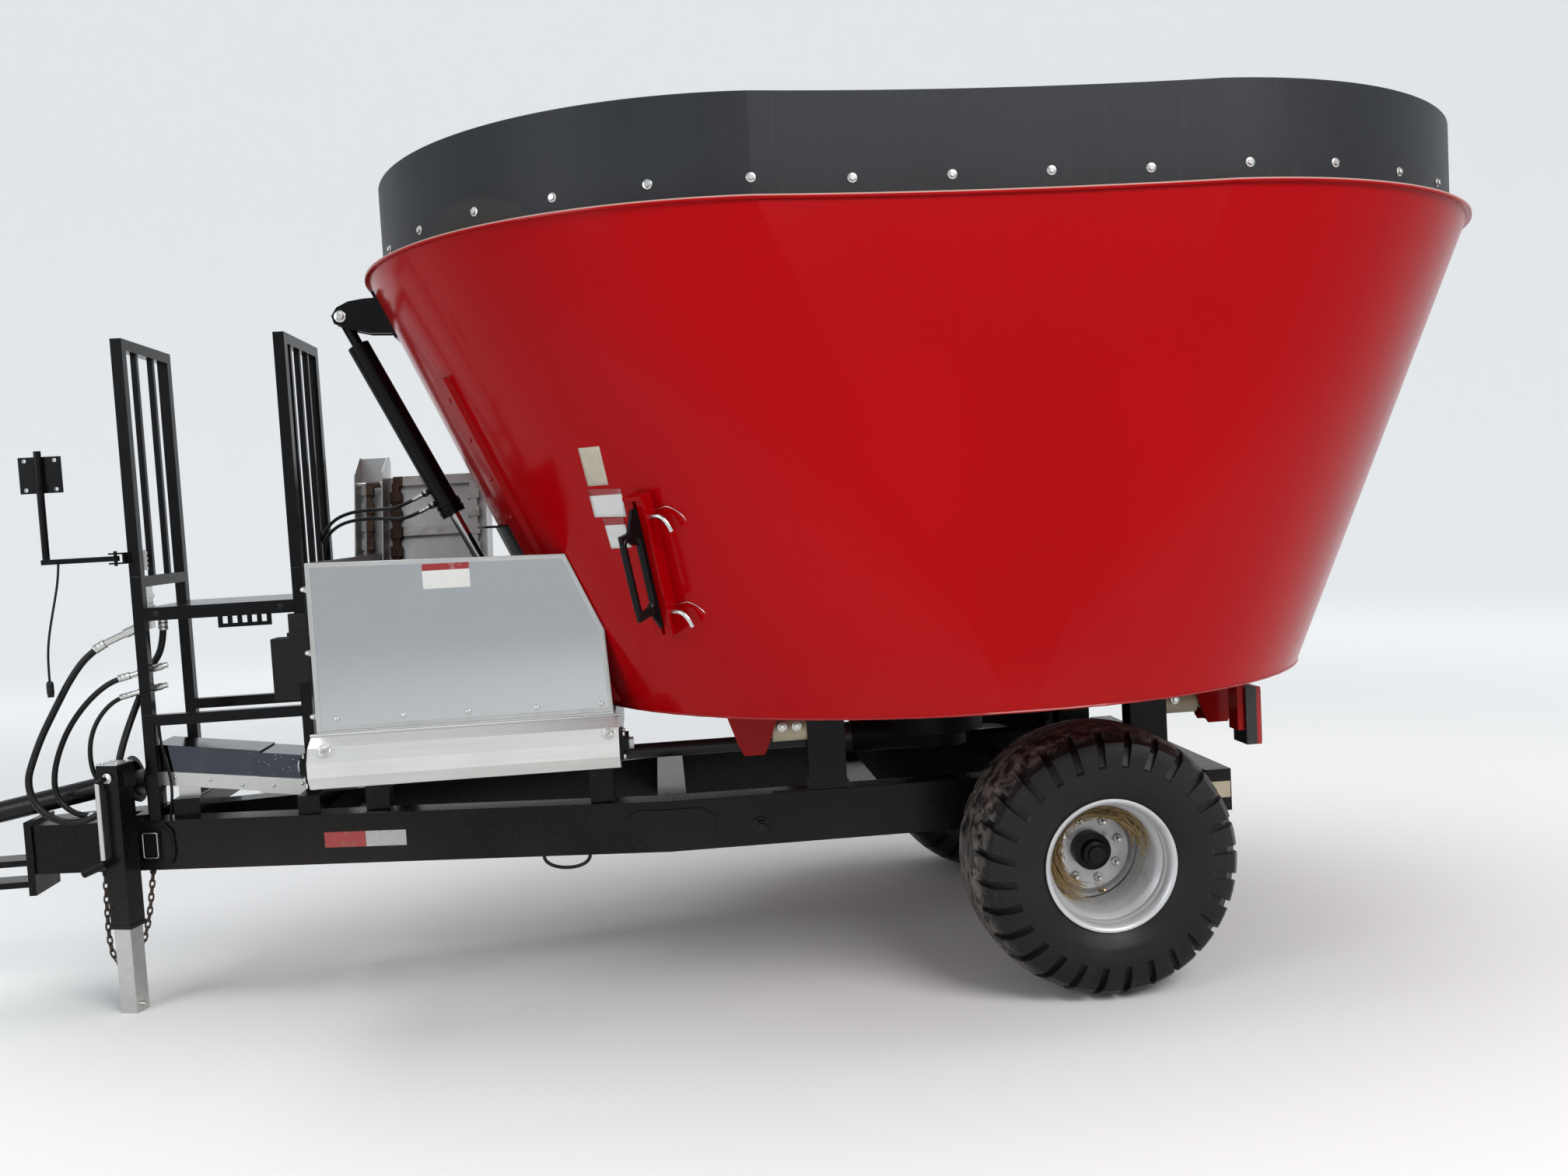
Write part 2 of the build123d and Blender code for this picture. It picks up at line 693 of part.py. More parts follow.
def make_tub_feet():
    parts = []
    top = TUB_FLOOR_Z
    y = weigh_y()
    for x, way in WEIGH_POINTS:
        start = x + way * (CELL_LEN + 12)
        end = start + way * 110
        low, high = sorted((start, end))
        points = [(low - 60, top), (low, CELL_Z - 30), (low + 20, CELL_Z - 72), (high - 20, CELL_Z - 72),
                  (high, CELL_Z - 30), (high + 60, top)]
        foot = side_plate(points, y - 52, y - 40) + side_plate(points, y + 40, y + 52)
        foot += block((low + 12, high - 12), (y - 52, y + 52), (CELL_Z - 60, top))
        foot -= rod((start - way * 90, y, CELL_Z), (x + way * (CELL_LEN + 41), y, CELL_Z), 24.3)
        parts.append(foot)
    return both_sides(group(*parts))


def make_lamp():
    lamp = block((4400, 4452), (-704, -600), (742, 936))
    arm = block((4376, 4400), (-690, -620), (790, TUB_FLOOR_Z))
    return lamp, arm


# Cross conveyor

def make_conveyor_bed():
    """Floor, front and rear sides of the trough, open to the far side."""
    floor = block((CONV_FRONT, CONV_REAR), (CONV_NEAR + 34, CONV_FAR), (CONV_FLOOR - 40, CONV_FLOOR - 34))
    outline = [
        (CONV_NEAR, CONV_LOW), (-70, CONV_LOW), (-70, CONV_LOW + 48), (70, CONV_LOW + 48), (70, CONV_LOW),
        (CONV_WALL_FAR, CONV_LOW), (CONV_WALL_FAR, 970), (304, 984), (418, CONV_TOP), (CONV_NEAR, CONV_TOP),
    ]
    front = cross_plate(outline, CONV_FRONT, CONV_FRONT + SHEET_T)
    outline = [
        (CONV_NEAR, CONV_LOW), (-70, CONV_LOW), (-70, CONV_LOW + 10), (70, CONV_LOW + 10), (70, CONV_LOW),
        (CONV_FAR, CONV_LOW), (CONV_FAR, TUB_FLOOR_Z - 14), (CONV_NEAR, TUB_FLOOR_Z - 14),
    ]
    rear = cross_plate(outline, CONV_REAR - SHEET_T, CONV_REAR)
    ear = cross_plate([(CONV_FAR - 40, 900), (CONV_FAR - 40, CONV_FLOOR - 40), (CONV_FAR, CONV_FLOOR - 40),
                       (ELEV_PIN[0], 966), (ELEV_PIN[0] + 28, 944), (ELEV_PIN[0] + 28, 908), (ELEV_PIN[0], 894)],
                      ELEV_REAR + 6, ELEV_REAR + 14)
    return floor + front + rear + ear


def make_panel():
    points = [
        (CONV_FRONT, CONV_FLOOR + 15), (CONV_FRONT, CONV_TOP), (wall_x(CONV_TOP - 16, CONV_NEAR) - 0.3, CONV_TOP - 16),
        (wall_x(PANEL_KINK_Z, CONV_NEAR) - 0.3, PANEL_KINK_Z), (CONV_REAR, CONV_FLOOR + 15),
    ]
    return side_plate(points, CONV_NEAR - SHEET_T, CONV_NEAR)


def make_hood():
    """Rounded cover over the tail roller."""
    y = CONV_NEAR - SHEET_T
    low = CONV_LOW
    outline = [(y, 1000), (y - 26, 994), (y - 72, 968), (y - HOOD_OUT, 924), (y - HOOD_OUT, 880), (y - 74, 842),
               (y - 30, low), (y, low)]
    outer = cross_plate(outline, CONV_FRONT - HOOD_OVER, CONV_REAR + HOOD_OVER)
    inner = cross_plate([(y + 8, 992), (y - 24, 988), (y - 68, 962), (y - HOOD_OUT + 5, 922), (y - HOOD_OUT + 5, 884),
                         (y - 70, 850), (y - 28, low - 8), (y + 8, low - 8)],
                        CONV_FRONT - HOOD_OVER + 4, CONV_REAR + HOOD_OVER - 4)
    z = CONV_FLOOR - 76
    return outer - inner - rod((0, CONV_NEAR - 30, z), (3000, CONV_NEAR - 30, z), 21)


def make_tail_roller():
    y = CONV_NEAR - 30
    z = CONV_FLOOR - 76
    roller = rod((CONV_FRONT + 10, y, z), (CONV_REAR - 10, y, z), ROLLER_R)
    return roller + rod((CONV_FRONT - 54, y, z), (CONV_REAR + 58, y, z), 19)


def make_bearings():
    y = CONV_NEAR - 30
    z = CONV_FLOOR - 76
    parts = []
    for x, way in ((CONV_FRONT - HOOD_OVER, -1), (CONV_REAR + HOOD_OVER, 1)):
        low, high = sorted((x, x + way * 12))
        plate = block((low, high), (y - 46, y + 46), (z - 46, z + 46))
        plate += rod((x, y, z), (x + way * 30, y, z), 38)
        parts.append(plate - rod((x - way * 10, y, z), (x + way * 60, y, z), 19.05))
    return group(*parts)


def slat_rows(length, pitch, x_low, x_high, y_from, z, direction):
    bars = []
    count = int(length // pitch)
    for step in range(count):
        y = y_from + direction * (step + 0.5) * pitch
        bars.append(block((x_low, x_high), (y - 20, y + 20), (z, z + 26)))
    return bars


def make_conveyor_chain():
    """Two chain strands on the trough's floor and the slats between them."""
    z = CONV_FLOOR - 33.7
    y_low, y_high = CONV_NEAR + 36, CONV_FAR - 4
    parts = []
    for x in (CONV_FRONT + 50, CONV_REAR - 50 - CHAIN_W):
        parts.append(block((x, x + CHAIN_W), (y_low, y_high), (z, z + 30)))
    slats = slat_rows(y_high - y_low, SLAT_PITCH, CONV_FRONT + 52, CONV_REAR - 52, y_low, z, 1)
    chain = parts[0] + parts[1]
    for slat in slats:
        chain += slat
    return chain


def make_conveyor_stands():
    parts = []
    for x in (CONV_FRONT + 30, CONV_REAR - 110):
        out = tongue_outer(x + 40)
        inn = tongue_inner(x + 40)
        for side in (-1, 1):
            y = side * (out + inn) / 2
            parts.append(block((x, x + 80), (y - 30, y + 30), (RAIL_TOP, CONV_LOW)))
            cap = sorted((side * 150, side * (out + 20)))
            parts.append(block((x, x + 80), cap, (CONV_LOW - 30, CONV_LOW)))
    inside = (CONV_FRONT + SHEET_T, CONV_REAR - SHEET_T)
    for y_low, y_high in ((-420, -150), (150, CONV_FAR - 50)):
        parts.append(block(inside, (y_low, y_high), (CONV_LOW, CONV_LOW + 30)))
        parts.append(block(inside, (y_low, y_low + 60), (CONV_LOW + 30, CONV_FLOOR - 40)))
    stand = parts[0]
    for part in parts[1:]:
        stand += part
    return stand


# Folding elevator: made lying flat, its bed along +Y from the pin, then turned up

def elevator_place(shape):
    y, z = ELEV_PIN
    return Pos(0, y, z) * Rot(ELEV_ANGLE, 0, 0) * shape


def make_elevator_frame():
    length, depth = ELEV_LEN, ELEV_DEPTH
    side = [(-30, -40), (-30, 40), (40, depth - 60), (length - 70, depth - 60), (length + 24, 30), (length + 24, -40)]
    front = cross_plate(side, CONV_FRONT + 10, CONV_FRONT + 14)
    rear = cross_plate(side, ELEV_REAR - 4, ELEV_REAR)
    deck = block((CONV_FRONT + 10, ELEV_REAR), (24, length - 60), (6, 10))
    frame = front + rear + deck
    frame += block((CONV_FRONT + 10, ELEV_REAR), (120, 160), (-34, 6))
    frame += block((CONV_FRONT + 10, ELEV_REAR), (length - 220, length - 180), (-34, 6))
    frame -= rod((CONV_FRONT, 0, 0), (ELEV_REAR + 10, 0, 0), 16 + PIN_CLEAR)
    return elevator_place(frame)


def link_strand(x, y_low, y_high, z):
    """One chain strand: wide and narrow links by turns, each reaching into the next."""
    count = int((y_high - y_low) // LINK_PITCH)
    strand = None
    for step in range(count):
        y = y_low + step * LINK_PITCH
        half, low, high = (CHAIN_W / 2, 0, 30) if step % 2 else (CHAIN_W / 2 - 8, 4, 26)
        link = block((x - half, x + half), (y - 4, y + LINK_PITCH), (z + low, z + high))
        strand = link if strand is None else strand + link
    return strand


def make_elevator_chain():
    length = ELEV_LEN
    front, rear = CONV_FRONT + 46, ELEV_REAR - 40
    chain = link_strand(front, 34, length - 60, 10.3) + link_strand(rear - CHAIN_W / 2, 34, length - 60, 10.3)
    count = int((length - 120) // ELEV_SLAT_PITCH)
    for step in range(count + 1):
        y = length - 84 - step * ELEV_SLAT_PITCH
        chain += block((front - 10, rear - 20), (y - 20, y + 20), (10.3, 36.3))
    return elevator_place(chain)


def make_chain_guard():
    """Channel of the elevator's drive chain beside its front side, open towards the chain."""
    length = ELEV_LEN
    points = [(60, -40), (60, 84), (length - 60, 84), (length + 44, -8), (length + 44, -40)]
    low, high = CONV_FRONT - 107, CONV_FRONT + 10
    guard = cross_plate(points, low, low + 4)
    guard += block((low, high), (60, length + 44), (-40, -36))
    for y in (110, length - 90):
        guard += rod((low, y, 24), (high, y, 24), 12)
    return elevator_place(guard + link_strand(low + 40, 70, length - 60, 4))


def make_elevator_pin():
    y, z = ELEV_PIN
    return rod((CONV_FRONT - 6, y, z), (ELEV_REAR + 22, y, z), 16)


# Platform

def make_guard(x, bars, near_foot, far_foot, bar_low):
    """A post each side, a top bar, a lower bar and slim bars between them."""
    near, far = GUARD_NEAR, GUARD_FAR
    guard = block((x, x + POST), (near, near + POST), (near_foot, GUARD_TOP))
    guard += block((x, x + POST), (far - POST, far), (far_foot, GUARD_TOP))
    guard += block((x, x + POST), (near, far), (GUARD_TOP - POST, GUARD_TOP))
    guard += block((x, x + POST), (near, far), (bar_low - POST, bar_low))
    gap = (far - near) / (bars + 1)
    for step in range(1, bars + 1):
        y = near + gap * step
        guard += block((x + 9, x + 9 + BAR), (y - BAR / 2, y + BAR / 2), (bar_low - 10, GUARD_TOP - 10))
    return guard


def make_deck():
    x_low, x_high = GUARD_FRONT_X + POST, GUARD_REAR_X
    plate = block((x_low, x_high), (GUARD_NEAR, GUARD_FAR), (DECK_Z - 6, DECK_Z))
    plate += block((x_low, x_low + 50), (GUARD_NEAR, GUARD_FAR), (DECK_Z - 46, DECK_Z - 6))
    for y in (GUARD_NEAR, GUARD_FAR - 6):
        plate += block((x_low, x_high), (y, y + 6), (DECK_Z - 46, DECK_Z))
    slots = [block((x, x + 16), (GUARD_NEAR + 80, GUARD_NEAR + 86), (DECK_Z - 76, DECK_Z - 6)) for x in DECK_WEBS]
    plate += block((DECK_WEBS[0], DECK_WEBS[-1] + 16), (GUARD_NEAR + 80, GUARD_NEAR + 86), (DECK_Z - 90, DECK_Z - 76))
    for slot in slots:
        plate += slot
    return plate


def make_step():
    x_low, x_high = GUARD_FRONT_X + POST, GUARD_REAR_X
    near = block((x_low, x_high), (GUARD_NEAR, GUARD_NEAR + POST), (STEP_Z - POST, STEP_Z))
    far = block((x_low, x_high), (GUARD_FAR - POST, GUARD_FAR), (STEP_Z - POST, STEP_Z))
    return group(near, far)


def make_outriggers():
    """Tubes over the tongue that carry the platform's far posts."""
    z = (RAIL_TOP, OUTRIGGER_TOP)
    front = block(OUTRIGGER_X, (GUARD_NEAR + 10, GUARD_FAR), z)
    front += block((GUARD_FRONT_X, OUTRIGGER_X[0]), (GUARD_FAR - POST, GUARD_FAR), (OUTRIGGER_TOP - 38, OUTRIGGER_TOP))
    x = GUARD_REAR_X
    rear = block((x - 10, x + 66), (-tongue_outer(x) + 12, GUARD_FAR), z)
    return group(front, rear)


COUPLERS = (
    # middle of the hose's end, middle of the tip
    ((575, -86, 1162), (704, -86, 1192)),
    ((575, -86, 1095), (698, -86, 1120)),
)
CRIMP = ((620, -121, 1329), (520, -138, 1285))
MANIFOLD = ((434, 492), (-112, -72), (RAIL_TOP, 704))


def make_valve_block():
    """Valve on the front post, its hose fittings, and the junction block on the rail."""
    x = GUARD_FRONT_X
    y = GUARD_NEAR + POST
    valve = block((x + 4, x + POST - 4), (y, y + 70), (CROSS_BAR_Z - POST - 150, CROSS_BAR_Z - POST))
    for step in range(3):
        z = CROSS_BAR_Z - POST - 34 - 42 * step
        valve += block((x, x + POST), (y, y + 74), (z - 8, z + 8))
    start = Vector(*CRIMP[0])
    way = Vector(*CRIMP[1]) - start
    crimp = rod(CRIMP[0], CRIMP[1], 13)
    crimp += rod(CRIMP[0], tuple(start + way * 0.35), 17)
    crimp -= block((x, x + 60), (GUARD_NEAR - 20, y), (1200, 1400))
    pieces = [valve, crimp]
    for low, tip in COUPLERS:
        start, way = Vector(*low), Vector(*tip) - Vector(*low)
        piece = rod(low, tip, 10)
        piece += rod(tuple(start + way * 0.2), tuple(start + way * 0.86), 13)
        middle = start + way * 0.55
        piece += block((x + 8, x + 30), (y, y + 8), (middle.Z - 16, middle.Z + 16))
        pieces.append(piece)
    pieces.append(block(*MANIFOLD))
    return group(*pieces)


def make_control_box():
    """A box behind the rear post and a slim cover on the post's face."""
    inner = block((GUARD_REAR_X - 90, GUARD_REAR_X), (GUARD_NEAR + 2, GUARD_NEAR + 96), (1042, 1262))
    cover = block((GUARD_REAR_X - 14, GUARD_REAR_X + 46), (GUARD_NEAR - 34, GUARD_NEAR), (1104, 1350))
    cover += block((GUARD_REAR_X - 20, GUARD_REAR_X + 52), (GUARD_NEAR - 40, GUARD_NEAR), (1270, 1284))
    return group(inner, cover)


# Swing arm for the scale's indicator

ARM_PIVOT = (586, -158)
ARM_Z = 1579
ARM_END_X = 356
ARM_TOP = 1963
INDICATOR_PLATE = (141, 126)
INDICATOR_Z = 1881


def make_arm_bracket():
    x, y = ARM_PIVOT
    ear = block((x - 18, GUARD_FRONT_X), (y - 16, y + 16), (ARM_Z + 14, ARM_Z + 20))
    ear += block((x - 18, GUARD_FRONT_X), (y - 16, y + 16), (ARM_Z - 20, ARM_Z - 14))
    ear += block((GUARD_FRONT_X - 6, GUARD_FRONT_X), (y - 16, GUARD_NEAR + POST), (ARM_Z - 20, ARM_Z + 20))
    return ear + rod((x, y, ARM_Z - 26), (x, y, ARM_Z + 26), 6)


def make_arm():
    x, y = ARM_PIVOT
    arm = block((ARM_END_X - 14, x), (y - 12, y + 12), (ARM_Z - 9, ARM_Z + 9))
    arm += rod((x, y, ARM_Z - 9), (x, y, ARM_Z + 9), 13)
    arm -= rod((x, y, ARM_Z - 20), (x, y, ARM_Z + 20), 6.5)
    arm += rod((ARM_END_X, y, ARM_Z), (ARM_END_X, y, ARM_TOP), 12)
    half_x, half_z = INDICATOR_PLATE[0] / 2, INDICATOR_PLATE[1] / 2
    middle = INDICATOR_Z
    plate = block((ARM_END_X - half_x, ARM_END_X + half_x), (y + 11, y + 16), (middle - half_z, middle + half_z))
    for dx in (-50, 50):
        for dz in (-50, 50):
            spot = ARM_END_X + dx, middle + dz
            plate -= rod((spot[0], y, spot[1]), (spot[0], y + 30, spot[1]), 4.5)
    return arm + plate + rod((ARM_END_X, y - 11, 1838), (ARM_END_X, y - 22, 1838), 9)


# Jack

def jack_place(shape):
    """Jack pieces are made square about their own upright axis and then turned."""
    return Pos(JACK_X, JACK_Y, 0) * Rot(0, 0, JACK_TURN) * shape


def square(half, z_low, z_high):
    return block((-half, half), (-half, half), (z_low, z_high))


def make_jack_tube():
    half = JACK_TUBE / 2
    inner = half - JACK_WALL
    tube = square(half, JACK_LOW, JACK_TOP) + square(half + 4, JACK_LOW, JACK_LOW + 14)
    tube += square(half + 4, JACK_TOP - 86, JACK_TOP) + block((half, half + 20), (-26, 26), (JACK_TOP - 78, JACK_TOP - 20))
    tube = jack_place(tube - square(inner, JACK_LOW - 10, JACK_TOP - 40))
    y = JACK_Y + half
    outline = [
        (JACK_X - 32, y), (JACK_X + 32, y), (JACK_X + 32, -tongue_outer(JACK_X + 32)),
        (JACK_X - 32, -tongue_outer(JACK_X - 32)),
    ]
    bracket = flat_plate(outline, RAIL_TOP - RAIL_H + 20, RAIL_TOP - 20)
    return tube + bracket - jack_place(square(inner, JACK_LOW - 10, JACK_TOP - 40))


def make_jack_crank():
    """Rod bent over at the top and the grip across its lower end."""
    half = JACK_TUBE / 2
    y, top = -half - 26, JACK_TOP - 44
    hub = rod((0, -half, top), (0, y, top), 9)
    arm = rod((0, y, top), (-22, y, top - 12), 8) + rod((-22, y, top - 12), (-22, y, top - 290), 8)
    grip = rod((-14, y, top - 290), (-94, y - 14, top - 322), 15)
    return jack_place(hub + arm + Pos(-22, y, top - 12) * Sphere(8) + grip)


def make_jack_leg():
    half = JACK_LEG / 2
    leg = square(half, 0, 560) - square(half - 6, -5, 120)
    return jack_place(leg + rod((-half - 12, 0, 24), (half + 12, 0, 24), 9))


def make_receiver():
    """Open square holder and a bent bar on the rail's face beside the jack."""
    plane = Plane(origin=(628, -tongue_outer(628), 0), x_dir=(2250, -393, 0), z_dir=(-393, -2250, 0))
    frame = Pos(0, 565, 5) * (Box(66, 100, 10) - Box(50, 84, 20))
    points = [(50, 640), (78, 612), (84, 540), (70, 500)]
    bent = None
    for low, high in zip(points, points[1:]):
        piece = rod((low[0], low[1], 6), (high[0], high[1], 6), 6)
        bent = piece if bent is None else bent + piece
    return plane.location * frame, plane.location * bent


# Drive line: carrier bearing, a slanted front shaft, a level rear shaft, and the input shaft


def between(start, end, distance):
    """A point some way along a line."""
    start, end = Vector(*start), Vector(*end)
    point = start + (end - start).normalized() * distance
    return (point.X, point.Y, point.Z)


def front_line(x):
    return between(LINE_FRONT, LINE_BEND, (x - LINE_FRONT[0]) / (LINE_BEND[0] - LINE_FRONT[0]) * LINE_LENGTH)


LINE_LENGTH = hypot(LINE_BEND[0] - LINE_FRONT[0], LINE_BEND[2] - LINE_FRONT[2])


def make_carrier():
    x, y, z = front_line(CARRIER_X)
    foot = block((x - 40, x + 20), (-110, 110), (RAIL_TOP, RAIL_TOP + 14))
    web = block((x - 12, x + 12), (-60, 60), (RAIL_TOP + 14, z))
    ring = rod(front_line(x - 18), front_line(x + 22), 62)
    return foot + web + ring - rod(front_line(x - 60), front_line(x + 60), SHAFT_R + PIN_CLEAR)


def make_front_shaft():
    shaft = rod(LINE_FRONT, between(LINE_BEND, LINE_FRONT, BALL_R + BALL_CLEAR), SHAFT_R)
    shaft -= rod(between(LINE_FRONT, LINE_BEND, -60), between(LINE_FRONT, LINE_BEND, 8), SHAFT_R + 1)
    shaft += Pos(*LINE_FRONT) * Sphere(BALL_R)
    collar_start = between(LINE_BEND, LINE_FRONT, 150)
    return shaft + rod(collar_start, between(LINE_BEND, LINE_FRONT, 40), 32)


def make_rear_shaft():
    x, y, z = LINE_BEND
    end = TUB_X - GEARBOX_R - 110 - BALL_CLEAR
    shaft = rod((x + 6, 0, z), (end, 0, z), SHAFT_R) + Pos(x, 0, z) * Sphere(BALL_R)
    shaft += rod((x + 50, 0, z), (x + 150, 0, z), 46)
    return shaft + rod((end - 130, 0, z), (end, 0, z), 55)


SHIELD_LENGTHS = (
    # x low, x high, half width, step of the top
    (640, 1000, 92, 0),
    (990, 1150, 96, -6),
)


def shield_top(x):
    start, end = SHIELD_LENGTHS[0][0], SHIELD_LENGTHS[-1][1]
    return SHIELD_TOP[0] + (SHIELD_TOP[1] - SHIELD_TOP[0]) * (x - start) / (end - start)


def make_line_shield():
    """Folded cover in two lengths over the slanted shaft."""
    shield = None
    for x_low, x_high, half, step in SHIELD_LENGTHS:
        z_low, z_high = shield_top(x_low) + step, shield_top(x_high) + step
        deep = SHIELD_DEPTH
        points = [(x_low, z_low - deep), (x_low, z_low), (x_high, z_high), (x_high, z_high - deep)]
        rise = (z_high - z_low) / (x_high - x_low) * 20
        low, high = z_low - 3 - rise, z_high - 3 + rise
        hollow = [(x_low - 20, low - 2 * deep), (x_low - 20, low), (x_high + 20, high), (x_high + 20, high - 2 * deep)]
        cover = side_plate(points, -half, half) - side_plate(hollow, -half + 3, half - 3)
        shield = cover if shield is None else shield + cover
    x = (OUTRIGGER_X[0] + 8, OUTRIGGER_X[1] - 8)
    shield += block(x, (-89, 89), (OUTRIGGER_TOP, OUTRIGGER_TOP + 6))
    for y in ((-89, -84), (84, 89)):
        shield += block(x, y, (OUTRIGGER_TOP, OUTRIGGER_TOP + 84))
    return shield


def make_pto_shaft():
    start = between(LINE_FRONT, PTO_END, BALL_R + BALL_CLEAR)
    shaft = rod(start, PTO_END, 17)
    shaft += rod(between(PTO_END, start, 96), PTO_END, 38)
    return shaft - rod(between(PTO_END, start, 80), between(PTO_END, start, -5), PTO_BORE_R)


def make_pto_guard():
    start = between(LINE_FRONT, PTO_END, 14)
    way = Vector(*PTO_END) - Vector(*start)
    plane = Plane(origin=start, z_dir=way)
    length = way.length - 130
    inner = 17 + STOP_CLEAR
    folds = [(84 - 5 * k + step, 10 * k + rise) for k in range(7) for step, rise in ((0, 0), (2, 4), (-9, 7))]
    cone = folds + [
        (44, 78), (38, 126), (38, length - 90), (46, length - 84), (70, length),
        (62, length), (36, length - 74), (inner, length - 80), (inner, 130), (34, 116), (36, 72), (66, 0),
    ]
    outline = make_face(Polyline(*[(r, 0, z) for r, z in cone], close=True))
    return plane.location * revolve(outline, Axis.Z, 360)


def make_hay_stop(end):
    """Channel on the wall, a blade that slides in it, and the blade's handle."""
    plane = stop_plane(end)
    half = STOP_LEN / 2
    channel = Pos(0, 0, 25) * Box(64, STOP_LEN, 50) - Pos(0, 0, 30) * Box(STOP_BLADE + 2 * STOP_CLEAR, STOP_LEN + 10, 80)
    channel += Pos(0, half + 6, 30) * Box(64, 12, 60)
    blade = Pos(0, 0, 60 - 95) * Box(STOP_BLADE, STOP_LEN - 60, 190)
    grip = Pos(0, 0, 100) * Box(STOP_BLADE, STOP_LEN - 160, 100)
    grip -= Pos(0, 0, 104) * Box(3 * STOP_BLADE, STOP_LEN - 210, 56)
    return plane.location * channel, plane.location * (blade + grip)


# Safety chain that hangs under the rail beside the jack, its links joined in one piece

CHAIN_ROUTE = (
    (436, -98, 455), (432, -100, 330), (433, -103, 230), (444, -107, 168), (468, -111, 133), (500, -114, 132),
    (530, -117, 158), (556, -119, 214), (584, -121, 310), (610, -123, 455),
)
CHAIN_LINK = (38, 22, 7)
CHAIN_PITCH = 24.4


def make_safety_chain():
    route = Spline(*CHAIN_ROUTE)
    count = int(route.length / CHAIN_PITCH)
    chain = None
    long, wide, thick = CHAIN_LINK
    for step in range(count + 1):
        share = step / count
        spot, way = route @ share, route % share
        link = Box(wide, thick, long) - Box(wide - 2 * thick + 1, 2 * thick, long - 2 * thick)
        plane = Plane(origin=spot, x_dir=(0, 1, 0) if step % 2 else way.cross(Vector(0, 1, 0)), z_dir=way)
        piece = plane.location * link
        chain = piece if chain is None else chain + piece
    for x, y, z in (CHAIN_ROUTE[0], CHAIN_ROUTE[-1]):
        chain += block((x - 6, x + 6), (y - 14, y + 14), (z, RAIL_TOP - RAIL_H))
    return chain


# Hoses and leads: name, diameter, and the points that each runs by

CORDS = {
    "hose_long": (24, (
        (520, -138, 1285), (462, -142, 1252), (398, -147, 1172), (343, -150, 1076), (288, -153, 978),
        (250, -155, 890), (226, -155, 821), (239, -155, 744), (291, -154, 683), (368, -152, 658), (456, -150, 680),
        (515, -148, 749), (524, -140, 838), (540, -116, 922), (562, -80, 1006), (592, -50, 1092), (628, -44, 1178),
        (682, -44, 1256), (686, -44, 1354),
    )),
    "hose_middle": (20, (
        (575, -86, 1162), (518, -87, 1149), (454, -88, 1108), (394, -88, 1048), (344, -88, 978), (308, -88, 900),
        (287, -88, 827), (286, -88, 758), (318, -88, 702), (374, -88, 670), (434, -88, 669),
    )),
    "hose_short": (16, (
        (575, -86, 1095), (532, -92, 1085), (488, -104, 1052), (454, -116, 1002), (434, -122, 944), (428, -122, 882),
        (434, -117, 820), (461, -100, 763), (463, -96, 704),
    )),
    "wire_bundle": (10, (
        (666, -112, 982), (666, -112, 936), (675, -110, 866), (690, -106, 790), (690, -106, 716), (680, -110, 650),
    )),
    "indicator_lead": (8, (
        (394, -158, 1570), (391, -163, 1520), (381, -172, 1458), (366, -178, 1388), (350, -180, 1314),
        (341, -180, 1240), (341, -180, 1165),
    )),
    "door_hose_upper": (13, (
        (1187, 236, 1400), (1184, 236, 1462), (1182, 236, 1524), (1187, 234, 1586), (1210, 228, 1640),
        (1252, 214, 1678), (1310, 190, 1698), (1372, 160, 1704), (1432, 120, 1704), (1484, 72, 1703),
        (1530, 26, 1710), (1575.2, 0, 1726), (1620.3, 0, 1747.5),
    )),
    "door_hose_lower": (13, (
        (1187, 257, 1400), (1184, 257, 1460), (1182, 257, 1518), (1189, 255, 1576), (1216, 248, 1624),
        (1262, 234, 1656), (1322, 208, 1670), (1384, 174, 1672), (1444, 132, 1670), (1498, 82, 1664),
        (1548, 32, 1666), (1596.7, 0, 1680.8), (1641.8, 0, 1702.4),
    )),
}
LEAD_PLUG = (12, 1112)


def turn_radii(points):
    """The radius of each turn, from the shorter run beside it and the angle between the two."""
    radii = []
    for before, here, after in zip(points, points[1:], points[2:]):
        first, second = Vector(*here) - Vector(*before), Vector(*after) - Vector(*here)
        turn = radians(first.get_angle(second))
        radii.append(0.45 * min(first.length, second.length) / tan(turn / 2))
    return radii


def make_cord(name):
    diameter, points = CORDS[name]
    radii = turn_radii(points)
    path = FilletPolyline(*points, radius=radii)
    start = Plane(origin=points[0], z_dir=Vector(*points[1]) - Vector(*points[0]))
    cord = sweep(start * Circle(diameter / 2), path=path.wire())
    share = cord.volume / (pi * diameter ** 2 / 4 * path.length)
    print(name, "length", round(path.length), "least radius", round(min(radii)), "of", 5 * diameter, "volume", round(share, 3))
    if name == "indicator_lead":
        x, y, z = points[-1]
        return group(cord, rod((x, y, LEAD_PLUG[1]), (x, y, z), LEAD_PLUG[0]))
    return cord


save("frame_left", make_frame_side())
save("frame_right", other_side(make_frame_side()))
save("cross_tubes", group(make_cross_tubes(), make_carrier()))
save("rear_beam", make_rear_beam())
save("hitch", make_hitch())
save("axle", make_axle())
tyre, rim, hub = make_tyre(), make_rim(), make_hub()
for side, turn in (("left", lambda shape: shape), ("right", other_side)):
    save(f"tyre_{side}", turn(tyre))
    save(f"rim_{side}", turn(rim))
    save(f"hub_{side}", turn(hub))
save("tub", make_tub())
save("extension_ring", make_extension_ring())
save("discharge_door", make_door())
save("door_guides", make_guides())
save("ram_bracket", make_ram_bracket())
save("ram_barrel", make_ram_barrel())
save("ram_rod", make_ram_rod())
save("auger", make_auger())
save("gearbox", make_gearbox())
save("weigh_stands", make_stands())
save("load_cells", make_cells())
lamp, lamp_arm = make_lamp()
save("tub_feet", group(make_tub_feet(), both_sides(lamp_arm)))
